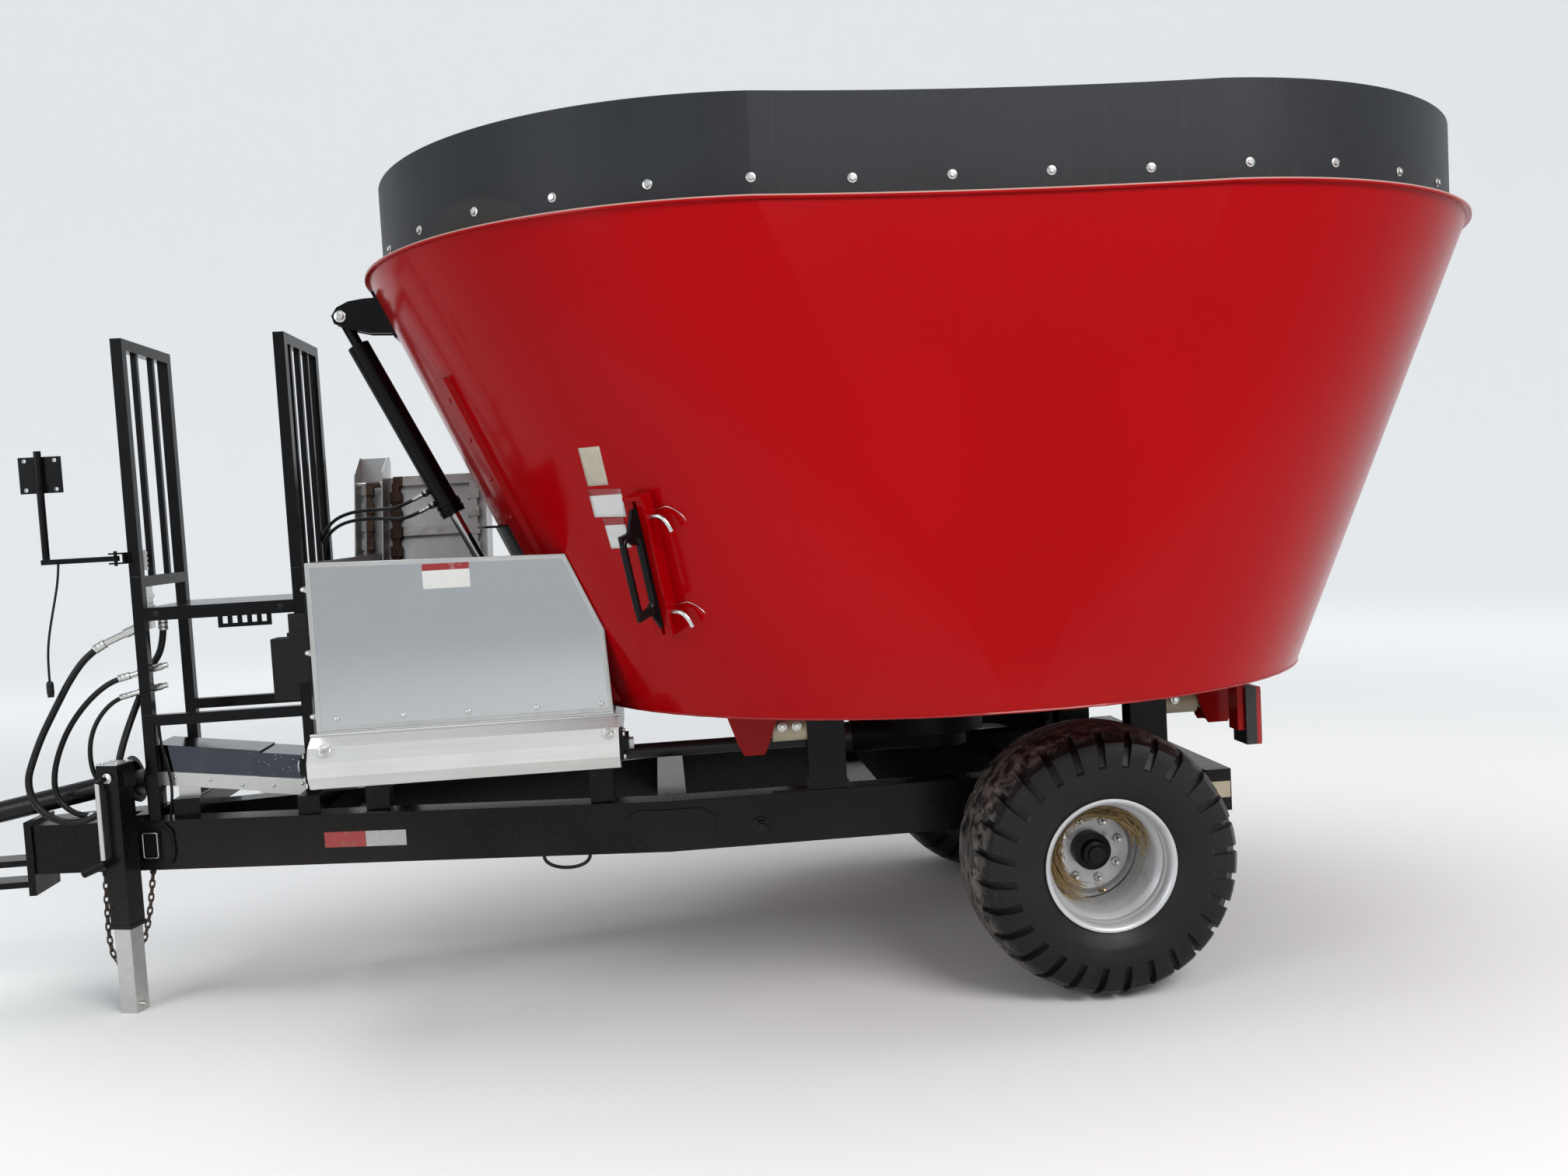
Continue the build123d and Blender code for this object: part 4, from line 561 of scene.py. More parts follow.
class Shape:
    """Points of a surface and its faces, kept in one array for each number of corners."""

    def __init__(self, points, faces):
        self.points = np.asarray(points, float)
        self.faces = [np.asarray(f, int) for f in faces]

    def __add__(self, other):
        shift = len(self.points)
        return Shape(np.concatenate([self.points, other.points]),
                     self.faces + [f + shift for f in other.faces])

    def moved(self, frames):
        """A copy in each of the frames, which hold three axes and an origin as columns."""
        frames = np.asarray(frames, float).reshape(-1, 3, 4)
        points = np.einsum("kij,pj->kpi", frames[:, :, :3], self.points) + frames[:, None, :, 3]
        shift = np.arange(len(frames))[:, None, None] * len(self.points)
        faces = [(f[None] + shift).reshape(-1, f.shape[1]) for f in self.faces]
        return Shape(points.reshape(-1, 3), faces)

    def on(self, places, normals, spin=0.0):
        """A copy at each place whose own Z axis points along the normal there."""
        return self.moved(frames_at(places, normals, spin))

    def shifted(self, way):
        return Shape(self.points + way, self.faces)

    def flipped(self):
        """The same surface with its faces turned to look the other way."""
        return Shape(self.points, [f[:, ::-1] for f in self.faces])

    def both_sides(self):
        """With its mirror image on the other side of the wagon, whose faces are turned back."""
        return self + Shape(self.points * (1, -1, 1), self.faces).flipped()

    def half_turn(self):
        """Half a turn about the tub's upright axis."""
        x, y, z = self.points.T
        return Shape(np.stack([2 * TUB_X - x, -y, z], -1), self.faces)


def joined(shapes):
    """One shape of several, in their order."""
    first, *rest = shapes
    for shape in rest:
        first = first + shape
    return first


def unit(rows):
    rows = np.asarray(rows, float)
    return rows / np.linalg.norm(rows, axis=-1, keepdims=True)


def circle(sides):
    """Angles at equal steps of a whole turn."""
    return np.arange(sides) * 2 * math.pi / sides


def frames_at(places, normals, spin=0.0):
    """Frames with Z along the normal and X level, then turned about the normal by spin."""
    places = np.atleast_2d(np.asarray(places, float))
    z = np.broadcast_to(unit(np.atleast_2d(normals)), places.shape)
    guide = np.where(np.abs(z[:, 2:3]) > 0.95, [[1.0, 0.0, 0.0]], [[0.0, 0.0, 1.0]])
    x = unit(np.cross(guide, z))
    y = np.cross(z, x)
    spin = np.broadcast_to(np.asarray(spin, float), (len(places),))[:, None]
    turned = x * np.cos(spin) + y * np.sin(spin), y * np.cos(spin) - x * np.sin(spin)
    return np.stack([*turned, z, places], -1)


def rings(grid, closed=False):
    """A skin over rows of points, each row a closed ring, with its two end rings capped
    unless the last row meets the first.
    """
    rows, columns = grid.shape[:2]
    faces = [quads(rows, columns, closed)]
    if not closed:
        cap = np.arange(columns)
        faces += [cap[None, ::-1], (cap + (rows - 1) * columns)[None]]
    return Shape(grid.reshape(-1, 3), faces)


def lathe(profile, sides=24, flats=0, closed=False):
    """Surface of revolution: (radius, height) points turned about Z and capped at both ends.

    With flats it is a prism: the radius is cos(half step) over the cosine of the angle
    from the middle of the nearest flat. Closed, the profile is an outline and there are
    no caps.
    """
    profile = np.asarray(profile, float)
    angle = circle(sides)
    reach = np.ones(sides)
    if flats:
        step = 2 * math.pi / flats
        reach = math.cos(step / 2) / np.cos(angle % step - step / 2)
    radius = profile[:, :1] * reach
    height = np.broadcast_to(profile[:, 1:], radius.shape)
    return rings(np.stack([radius * np.cos(angle), radius * np.sin(angle), height], -1), closed)


def ways_along(path, closed):
    """Unit direction at each point of a path: the mean of the runs before and after it."""
    if closed:
        return unit(unit(np.roll(path, -1, 0) - path) + unit(path - np.roll(path, 1, 0)))
    runs = unit(np.diff(path, axis=0))
    return unit(np.concatenate([runs[:1], runs[:-1] + runs[1:], runs[-1:]]))


def tube(path, radius, sides=10, closed=False, guide=LEVEL_Y):
    """A circle carried square to a path; its first direction is guide crossed with the path's."""
    path = np.asarray(path, float)
    way = ways_along(path, closed)
    side = unit(np.cross(way, np.asarray(guide, float) + 1e-4))
    up = np.cross(way, side)
    angle = circle(sides)[None, :, None]
    radius = np.broadcast_to(np.asarray(radius, float), (len(path),))[:, None, None]
    ring = side[:, None] * np.cos(angle) + up[:, None] * np.sin(angle)
    return rings(path[:, None] + radius * ring, closed)


def strip(path, normal, section):
    """A flat section carried along a closed path: (across, above) points, across being
    square to both the path and the normal, with the corners mitred.
    """
    path, section = np.asarray(path, float), np.asarray(section, float)
    way = ways_along(path, True)
    normal = np.broadcast_to(unit(normal), path.shape)
    run = unit(np.roll(path, -1, 0) - path)
    lean = np.abs(np.sum(run * way, -1, keepdims=True))
    across = np.cross(normal, way) / np.maximum(lean, 0.5)
    above = normal[:, None] * section[None, :, 1:]
    return rings(path[:, None] + across[:, None] * section[None, :, :1] + above, True).flipped()


def slab(outline, levels):
    """A thin plate: its outline is drawn in towards the middle by each level's share and
    raised by its height.
    """
    levels = np.asarray(levels, float)
    flat = np.asarray(outline, float)[None] * (1 - levels[:, :1, None])
    height = np.broadcast_to(levels[:, 1:], flat.shape[:2])
    return rings(np.concatenate([flat, height[..., None]], -1))


def rounded(width, height, corner, steps=6):
    """Outline of a rectangle whose corners are quarter circles."""
    angle = np.linspace(0, math.pi / 2, steps)[None] + np.arange(4)[:, None] * math.pi / 2
    sign = np.array([(1, 1), (-1, 1), (-1, -1), (1, -1)])[:, None]
    middle = sign * (np.array([width, height]) / 2 - corner)
    return (middle + corner * np.stack([np.cos(angle), np.sin(angle)], -1)).reshape(-1, 2)


def corners(reach):
    """The four corners of a square, as far from its middle as reach along both axes."""
    return np.array([(x, y) for x in (-reach, reach) for y in (-reach, reach)])


def smooth_path(points, steps=12):
    """Catmull-Rom curve: each stretch is the cubic set by its two ends and their neighbours."""
    p = np.asarray(points, float)
    p = np.concatenate([2 * p[:1] - p[1:2], p, 2 * p[-1:] - p[-2:-1]])
    a, b, c, d = (p[k:len(p) - 3 + k, None] for k in range(4))
    t = np.linspace(0, 1, steps, endpoint=False)[None, :, None]
    curve = 0.5 * (2 * b + (c - a) * t + (2 * a - 5 * b + 4 * c - d) * t ** 2
                   + (3 * b - a - 3 * c + d) * t ** 3)
    return np.concatenate([curve.reshape(-1, 3), p[-2:-1]])


def reach_along(path):
    """How far along the path each of its points lies."""
    steps = np.linalg.norm(np.diff(path, axis=0), axis=1)
    return np.concatenate([[0.0], np.cumsum(steps)])


def at_reach(path, far, at):
    """Points of a path at given distances along it."""
    return np.stack([np.interp(at, far, column) for column in path.T], -1)


def outline_at(radius, shares, phase=0.0, half=RIM_HALF, waist=WAIST):
    """Points and outward directions at shares of the way round the tub's long round outline:
    half circles about the two ends of its middle line, and sides bowed in by the waist.
    """
    turn = np.linspace(-math.pi / 2, math.pi / 2, 181)
    t = np.linspace(1, -1, 121)[1:-1]
    end = np.stack([half + radius * np.cos(turn), radius * np.sin(turn)], -1)
    side = np.stack([half * t, radius - waist * (1 - t ** 2)], -1)
    path = np.concatenate([end, side, -end, -side, end[:1]]) + (TUB_X, 0)
    far = reach_along(path)
    at = (np.asarray(shares, float) + phase) % 1.0 * far[-1]
    near = at_reach(path, far, at)
    way = unit(at_reach(path, far, (at + 0.004) % far[-1]) - near)
    return near, np.stack([way[:, 1], -way[:, 0]], -1)


# From arrays to objects

def make_piece(name, shape, finish, body=ROOT, smooth=True, bevel=0.0, thick=0.0):
    """One mesh object with one finish that rides on a body; thick gives a sheet its wall."""
    data = bpy.data.meshes.new(name)
    faces = [face for group in shape.faces for face in group.tolist()]
    data.from_pydata(shape.points.tolist(), [], faces)
    data.update()
    data.polygons.foreach_set("use_smooth", np.full(len(faces), smooth))
    obj = bpy.data.objects.new(name, data)
    bpy.context.scene.collection.objects.link(obj)
    data.materials.append(MATERIALS[finish])
    if smooth:
        data.set_sharp_from_angle(angle=math.radians(38))
    if thick:
        wall = obj.modifiers.new("wall", "SOLIDIFY")
        wall.thickness = thick
        wall.offset = 1.0
    if bevel:
        rounding = obj.modifiers.new("rounding", "BEVEL")
        rounding.width = bevel
        rounding.segments = 2
        rounding.limit_method = "ANGLE"
        rounding.angle_limit = math.radians(40)
    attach(obj, body)
    return obj


def seats(node, starts, way):
    """Where straight looks along way first meet a node, and the ways its surface faces."""
    places, normals = [], []
    for start in starts:
        look = Vector(way).normalized()
        hit, place, normal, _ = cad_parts[node].ray_cast(Vector(start), look)
        if not hit:
            raise RuntimeError(f"nothing of {node} lies along the look from {start}")
        places.append(np.array(place))
        normals.append(np.array(-normal if normal.dot(look) > 0 else normal))
    return np.array(places), np.array(normals)


def wall_sheet(x, z, width, height, spin):
    """A grid that lies on the tub's near front wall, where the wall is a circle whose middle
    moves forward with height: the angle grows as the width over the radius, the height with
    the length up the wall, and the upright edges are square to the level ones.
    """
    def middle(level):
        return TUB_X - FLOOR_HALF - WALL_RUN * (level - FLOOR_Z)

    rows, columns, lift = 9, 11, 0.0004
    u, v = np.meshgrid(np.linspace(-width / 2, width / 2, columns),
                       np.linspace(-height / 2, height / 2, rows))
    u, v = (u * math.cos(spin) - v * math.sin(spin), u * math.sin(spin) + v * math.cos(spin))
    start = math.acos((middle(z) - x) / WALL_R)
    slant = math.sqrt(1 + WALL_RUN ** 2)
    skew = -WALL_RUN * math.sin(start) / slant
    square = math.sqrt(1 - skew ** 2)
    level = z + v / (slant * square)
    angle = start + (u - skew * v / square) / WALL_R
    way = unit(np.stack([-np.cos(angle), -np.sin(angle), -WALL_RUN * np.cos(angle)], -1))
    points = np.stack([middle(level) - WALL_R * np.cos(angle), -WALL_R * np.sin(angle), level], -1)
    return Shape((points + way * lift).reshape(-1, 3), [quads(rows, columns, False, False)])


def hex_bolt(size, washer=True):
    """Hexagon head on a washer; size is the head's radius across its corners."""
    head = lathe(np.array([(0.97, 0.0), (1.0, 0.10), (1.0, 0.62), (0.86, 0.74)]) * size, 24, 6)
    if not washer:
        return head
    flat = lathe(np.array([(1.45, 0.0), (1.45, 0.16), (1.38, 0.20)]) * size, 24)
    return flat + head.shifted((0, 0, size * 0.18))


def dome_bolt(size):
    """Round head: the profile is a quarter ellipse above a short rim."""
    t = np.linspace(0, math.pi / 2 * 0.96, 7)
    dome = np.stack([np.cos(t), 0.12 + 0.55 * np.sin(t)], -1)
    return lathe(np.concatenate([[(0.98, 0.0)], dome]) * size, 20)


def loop(radius, wire, steps=28):
    """A closed ring of wire in the XY plane."""
    t = circle(steps)
    path = np.stack([radius * np.cos(t), radius * np.sin(t), np.zeros(steps)], -1)
    return tube(path, wire, 8, True, UPWARD)


def weld(start, end, size):
    """A bead along a line whose radius ripples as the sine of the distance."""
    start, end = np.asarray(start, float), np.asarray(end, float)
    steps_per_metre = 420
    count = max(int(np.linalg.norm(end - start) * steps_per_metre), 8)
    t = np.linspace(0, 1, count)[:, None]
    step = np.arange(count)
    ripple = 1 + 0.16 * np.sin(step * 1.9) + 0.05 * np.sin(step * 0.37)
    guide = np.eye(3)[int(np.argmin(np.abs(unit(end - start))))]
    return tube(start + (end - start) * t, size * ripple, 7, False, guide)


def on_both_sides(shape, x, y, z):
    """A copy on each side of the wagon, both facing outwards."""
    return shape.on([(x, -y, z), (x, y, z)], [NEARWARD, LEVEL_Y])


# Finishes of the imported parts

def make_materials(colours):
    """Every finish; done() keeps each under its own name."""
    dust, black, label = colours.dust, tuple(colours.chassis), tuple(colours.label)
    tub_paint(tuple(colours.tub), dust)
    gloss_red("trim_red", scaled(colours.tub, 0.86), dust).done(0.0025)
    gloss_black("black_paint", black, 0.20, dust, 0.0025)
    gloss_black("chassis_black", black, 0.24, dust, 0.0025, top=0.30)
    gloss_black("hub_black", (0.0035, 0.0035, 0.004), 0.28, 0.5 * dust, 0.002)
    gloss_black("gearbox_iron", (0.008, 0.007, 0.007), 0.5, 0.5, 0.002)
    belt_rubber(tuple(colours.belt))
    for finish in (mirror_sheet, shield_steel, lift_chain, guard_sheet, tread_rubber, rim_paint,
                   rusty_chain, lamp_body):
        finish()
    # name, tone, roughness, metal, seed, smear, dirt, rust, brushing, spangle
    for row in (
        ("galvanised", (0.44, 0.45, 0.46), 0.34, 0.9, 3, 0.5, 0.2, 0.12, (1, 1, 1), 0.3),
        ("drive_steel", (0.06, 0.06, 0.062), 0.40, 0.5, 5, 0.5, 0.4, 0.3),
        ("plate_steel", (0.50, 0.50, 0.49), 0.32, 0.85, 9, 0.6, 0.2, 0.12, (1, 1, 0.1)),
        ("auger_steel", (0.30, 0.28, 0.26), 0.30, 0.9, 15, 0.5, 0.5),
        ("zinc", (0.58, 0.58, 0.56), 0.22, 1.0, 21, 0.35, 0.2),
        ("hood_white", (0.66, 0.66, 0.64), 0.28, 0.55, 27, 0.35, 0.15, 0.0, (0.05, 1, 1)),
    ):
        steel(*row)
    # name, tone, roughness, seed, grime, metal, coat
    for row in (
        ("cell_cream", (0.50, 0.46, 0.33), 0.40, 31, 0.35),
        ("lamp_amber", (0.55, 0.14, 0.005), 0.15, 35, 0.2, 0.0, 0.6),
        ("box_black", SOFT_BLACK, 0.42, 37, 0.12),
        ("guard_plastic", SOFT_BLACK, 0.30, 41, 0.15),
        ("hose_rubber", SOFT_BLACK, 0.36, 43, 0.12),
        ("brass", (0.42, 0.30, 0.12), 0.3, 57, 0.2, 0.9),
        ("straw", (0.42, 0.30, 0.145), 0.70, 53, 0.15),
        ("weld_black", (0.007, 0.007, 0.008), 0.35, 59, 0.1),
        ("weld_red", scaled(colours.tub, 0.8), 0.28, 61, 0.1, 0.0, 0.3),
        ("label_plain", (0.47, 0.42, 0.33), 0.34, 63, 0.1, 0.0, 0.3),
    ):
        small_part(*row)
    for name, tone in (("tape_red", (0.42, 0.018, 0.012)), ("tape_white", (0.56, 0.56, 0.54)),
                       ("tape_cream", (0.50, 0.43, 0.30))):
        reflecting_tape(name, tone)
    for name, split in (("label_upper", 1.2225), ("label_lower", 1.1320), ("label_panel", 1.0210)):
        header_label(name, label, split)


NODE_FINISH = {
    "chassis_black": "frame_left frame_right cross_tubes rear_beam hitch axle weigh_stands "
                     "conveyor_stands",
    "black_paint": "discharge_door ram_bracket ram_barrel guard_front guard_rear platform_base "
                   "platform_deck "
                   "indicator_arm jack_tube stop_blade_front stop_blade_rear",
    "tub_red": "tub",
    "trim_red": "door_guides tub_feet stop_channels",
    "tyre_rubber": "tyre_left tyre_right",
    "rim_silver": "rim_left rim_right",
    "hub_black": "hub_left hub_right roller_bearings",
    "dark_rubber": "extension_ring",
    "zinc": "ram_rod jack_leg valve_block",
    "auger_steel": "auger",
    "gearbox_iron": "gearbox",
    "cell_cream": "load_cells",
    "lamp_red": "tail_lamps",
    "galvanised": "conveyor_trough tail_roller",
    "drive_steel": "drive_shaft_front drive_shaft_rear pto_shaft",
    "plate_steel": "elevator_frame",
    "guard_sheet": "chain_guard",
    "stainless": "side_panel",
    "shield_steel": "drive_shield",
    "lift_chain": "elevator_chain",
    "hood_white": "roller_hood",
    "chain_steel": "conveyor_chain safety_chain",
    "box_black": "control_box",
    "guard_plastic": "pto_guard",
    "hose_rubber": "hose_long hose_middle hose_short wire_bundle indicator_lead "
                   "door_hose_upper door_hose_lower",
}


class MIXER_OT_finishes(bpy.types.Operator):
    """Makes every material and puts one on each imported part"""
    bl_idname = "mixer.finishes"
    bl_label = "Finishes"

    def execute(self, context):
        make_materials(context.scene.mixer_colours)
        given = set()
        for finish, names in NODE_FINISH.items():
            for name in names.split():
                given.add(name)
                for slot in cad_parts[name].material_slots:
                    slot.material = MATERIALS[finish]
        missing = set(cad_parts) - given
        if missing:
            raise RuntimeError(f"no finish for {sorted(missing)}")
        return {"FINISHED"}


# Tub

class MIXER_OT_ring_fasteners(bpy.types.Operator):
    """Bolts on washers round the rubber ring, and the 5 mm lap where its ends meet"""
    bl_idname = "mixer.ring_fasteners"
    bl_label = "Ring fasteners"

    def execute(self, context):
        fit = context.scene.mixer_fittings
        places, out = outline_at(RING_R, np.arange(fit.ring_bolts) / fit.ring_bolts, 0.0068)
        level = np.full((len(places), 1), RIM_Z + fit.ring_bolt_rise)
        level = level + 0.003 * np.sin(np.arange(len(places)) * 2.1)[:, None]
        normals = np.concatenate([out, np.zeros_like(level)], 1)
        places = np.concatenate([places, level], 1) - normals * 0.0005
        washer = lathe([(0.0142, 0.0), (0.0142, 0.0018), (0.0134, 0.0024)], 28)
        heads = hex_bolt(0.0092, False).on(places + normals * 0.0022, normals, 0.4)
        bolts = washer.on(places, normals) + heads
        make_piece("ring_bolts", bolts, "zinc")
        share = np.linspace(0.0, 0.0060, 9)
        foot, out = outline_at(RING_R + 0.0004, share, 0.617)
        near = np.concatenate([foot, (foot + out * 0.005)[::-1]])
        z = np.linspace(RIM_Z + 0.004, RING_TOP, 12)
        grid = np.concatenate([np.broadcast_to(near[None], (len(z), len(near), 2)),
                               np.broadcast_to(z[:, None, None], (len(z), len(near), 1))], -1)
        make_piece("ring_lap", rings(grid), "dark_rubber", smooth=False)
        return {"FINISHED"}


class MIXER_OT_tub_labels(bpy.types.Operator):
    """Three blank labels on the tub's near side and one on the side panel"""
    bl_idname = "mixer.tub_labels"
    bl_label = "Labels"

    def execute(self, context):
        wanted = (  # name, x, z, width, height, spin, finish
            ("label_top", 2.288, 1.309, 0.082, 0.118, 0.00, "label_plain"),
            ("label_middle", 2.321, 1.199, 0.128, 0.088, -0.03, "label_upper"),
            ("label_low", 2.345, 1.108, 0.083, 0.096, 0.02, "label_lower"),
        )
        for name, x, z, width, height, spin, finish in wanted:
            make_piece(name, wall_sheet(x, z, width, height, spin), finish,
                       thick=0.0009)
        plate = slab(rounded(0.146, 0.078, 0.004), [(0, 0), (0, 0.0007), (0.012, 0.0010)])
        place = [(1.799, PANEL_Y - 0.0002, 1.003)]
        make_piece("label_panel", plate.on(place, NEARWARD), "label_panel")
        return {"FINISHED"}


class MIXER_OT_tub_seams(bpy.types.Operator):
    """Tack welds along the door guides and the weld round the tub's floor"""
    bl_idname = "mixer.tub_seams"
    bl_label = "Tub seams"

    def execute(self, context):
        heights = np.linspace(0.66, 1.56, 8)
        starts = [(0.6, -0.575, z) for z in heights] + [(0.6, 0.575, z) for z in heights]
        places, normals = seats("door_guides", starts, (1, 0, 0))
        make_piece("guide_bolts", dome_bolt(0.0085).on(places, normals), "weld_red")
        ring, _ = outline_at(WALL_R, np.arange(220) / 220, half=FLOOR_HALF, waist=0.0)
        path = np.concatenate([ring, np.full((len(ring), 1), FLOOR_Z + 0.0005)], 1)
        ripple = 0.004 * (1 + 0.12 * np.sin(np.arange(len(path)) * 2.3))
        make_piece("floor_weld", tube(path, ripple, 7, True, (0, 0, 1)), "weld_red")
        return {"FINISHED"}


class MIXER_OT_hay_stops(bpy.types.Operator):
    """Bent locking pins with their wires, and the handles, of both hay stops"""
    bl_idname = "mixer.hay_stops"
    bl_label = "Hay stop pins"

    def execute(self, context):
        along, rise, out, origin = self.plane()
        axes = np.stack([along, rise, out])
        pins = []
        for level in (0.150, -0.145):
            # steps of the curve, wire radius, sides, and the bends in the channel's own axes
            for steps, wire, sides, bends in (
                (6, 0.0075, 14, [(0.024, 0.002, 0.030), (0.048, 0.005, 0.031),
                                 (0.066, 0.002, 0.031), (0.079, -0.008, 0.031),
                                 (0.089, -0.024, 0.030), (0.096, -0.044, 0.029)]),
                (8, 0.0011, 6, [(0.026, 0.016, 0.006), (0.054, 0.021, 0.004),
                                (0.076, 0.024, 0.002), (0.102, 0.012, 0.000),
                                (0.122, -0.006, -0.002), (0.130, -0.022, -0.004)]),
            ):
                path = smooth_path(origin + (np.array(bends) + (0, level, 0)) @ axes, steps)
                pins.append(tube(path, wire, sides, False, out))
        near = joined(pins)
        make_piece("stop_pins", near + near.half_turn(), "zinc")
        self.grips()
        return {"FINISHED"}

    def plane(self):
        """The near channel's own axes, along the wall, up it and out of it, and its middle."""
        sine, cosine = math.sin(STOP_ANGLE), math.cos(STOP_ANGLE)
        along = np.array([sine, -cosine, 0.0])
        out = unit(np.cross(along, unit([-WALL_RUN, 0.0, 1.0])))
        origin = np.array([TUB_X - STOP_SET - WALL_R * cosine, -WALL_R * sine, STOP_Z])
        return along, np.cross(out, along), out, origin

    def grips(self):
        """A rounded loop of bar and its two gussets, in each blade's own plane."""
        along, rise, out, origin = self.plane()
        edge = rounded(0.232, 0.078, 0.030)
        path = origin + rise * edge[:, :1] + out * (edge[:, 1:] + 0.106)
        bar = tube(path, 0.0098, 12, True, along)
        face = np.stack([rise, out, along], -1)
        gussets = joined([slab(outline, [(0, -0.0045), (0, 0.0045)]) for outline in (
            ((0.188, 0.048), (0.188, 0.074), (0.128, 0.112), (0.096, 0.112), (0.070, 0.048)),
            ((-0.082, 0.048), (-0.104, 0.100), (-0.122, 0.092), (-0.176, 0.060), (-0.176, 0.048)),
        )])
        near = bar + gussets.moved([np.concatenate([face, origin[:, None]], 1)])
        for name, grip in (("front", near), ("rear", near.half_turn())):
            make_piece(f"stop_grip_{name}", grip, "black_paint", f"stop_{name}",
                       bevel=0.001)


# Cross conveyor

class MIXER_OT_panel_trim(bpy.types.Operator):
    """Folded hem round the polished side panel, its screws and the bolts of its front flange"""
    bl_idname = "mixer.panel_trim"
    bl_label = "Panel trim"

    def execute(self, context):
        path = np.array([(x, PANEL_Y, z) for x, z in (
            (1.378, 0.545), (1.378, 1.059), (2.166, 1.043), (2.270, 0.806), (2.283, 0.545))])
        section = [(-0.0075, -0.0004), (-0.0075, 0.0016), (-0.0045, 0.0026),
                   (0.0055, 0.0026), (0.0070, 0.0014), (0.0070, -0.0004)]
        hem = strip(path, NEARWARD, section)
        make_piece("panel_hem", hem, "plate_steel", bevel=0.0004)
        xs = np.array([1.434, 1.638, 1.839, 2.052, 2.255])
        places = np.stack([xs, np.full(5, PANEL_Y), np.linspace(0.575, 0.566, 5)], -1)
        heads = dome_bolt(0.0085).on(places, (0, -1, 0))
        side = np.array([(1.370, -0.722, 0.984), (1.370, -0.722, 0.785), (1.370, -0.722, 0.584)])
        cap = lathe([(0.0085, 0.0), (0.0085, 0.014), (0.0070, 0.019), (0.0035, 0.022)], 18)
        cap_nut = hex_bolt(0.0105) + cap
        heads = heads + cap_nut.on(side, (-1, 0, 0))
        make_piece("panel_screws", heads, "zinc")
        return {"FINISHED"}


class MIXER_OT_hood_trim(bpy.types.Operator):
    """Lynch pins and upper fold of the roller's cover, and the bolts of its bearings"""
    bl_idname = "mixer.hood_trim"
    bl_label = "Hood trim"

    def execute(self, context):
        starts = [(1.410, -1.2, 0.488), (2.278, -1.2, 0.484)]
        places, normals = seats("roller_hood", starts, LEVEL_Y)
        pin = lathe([(0.0035, -0.004), (0.0042, 0.0), (0.0042, 0.016), (0.0030, 0.019)], 14)
        cross = tube([(-0.01105, 0, 0.011), (0.0221, 0, 0.011)], 0.0022, 8, False, UPWARD)
        whole = pin + cross + loop(0.017, 0.0018).shifted((0, 0, 0.010))
        pins = whole.on(places + normals * 0.001, normals, 0.5)
        make_piece("lynch_pins", pins, "zinc")
        bolts = joined([
            hex_bolt(0.0075).on([(x, ROLLER_Y + y, ROLLER_Z + z) for y, z in corners(0.036)], way)
            for x, way in ((1.344, FORWARD), (2.318, LEVEL_X))])
        make_piece("bearing_bolts", bolts, "zinc")
        ends = [(x, PANEL_Y - 0.004, 0.527) for x in (1.350, 2.312)]
        fold = tube(ends, 0.0048, 10, False, UPWARD)
        make_piece("hood_fold", fold, "hood_white")
        return {"FINISHED"}


class MIXER_OT_shield_trim(bpy.types.Operator):
    """Screws along the lower flange of the drive line's shield"""
    bl_idname = "mixer.shield_trim"
    bl_label = "Shield trim"

    def execute(self, context):
        starts = [(x, -0.6, z) for x, z in (
            (0.70, 0.318), (0.82, 0.300), (0.93, 0.272), (1.04, 0.262), (1.14, 0.262))]
        places, normals = seats("drive_shield", starts, (0, 1, 0))
        make_piece("shield_screws", dome_bolt(0.006).on(places, normals), "zinc")
        return {"FINISHED"}


# Wheels

class MIXER_OT_wheel_fittings(bpy.types.Operator):
    """Nuts and valve stems of both wheels"""
    bl_idname = "mixer.wheel_fittings"
    bl_label = "Wheel fittings"

    def execute(self, context):
        fit = context.scene.mixer_fittings
        angle = (np.arange(fit.wheel_nuts) + 0.35) * 2 * math.pi / fit.wheel_nuts
        for side, body in ((-1, "wheel_left"), (1, "wheel_right")):
            out = (0.0, float(side), 0.0)
            places = np.stack([
                WHEEL_X + fit.nut_circle * np.cos(angle), np.full(len(angle), side * DISC_Y),
                WHEEL_Z + fit.nut_circle * np.sin(angle)], -1)
            stud = lathe([(0.0075, 0.0), (0.0075, 0.026), (0.0060, 0.029)], 16)
            cone = lathe([(0.0155, 0.0), (0.0155, 0.003), (0.0135, 0.006)], 24)
            nuts = (hex_bolt(0.0135, False) + stud + cone).on(places, out, angle)
            make_piece(f"nuts_{body}", nuts, "zinc", body)
            low = np.array([WHEEL_X + 0.030, side * 0.722, WHEEL_Z - 0.145])
            stem = [low, low + (0.003, side * 0.022, 0.004), low + (0.004, side * 0.045, 0.014)]
            thick = [0.0060] * 3 + [0.0048] * 5 + [0.0036] * 3
            valve = tube(smooth_path(stem, 5), thick, 12, False, LEVEL_X)
            make_piece(f"valve_{body}", valve, "brass", body)
        return {"FINISHED"}


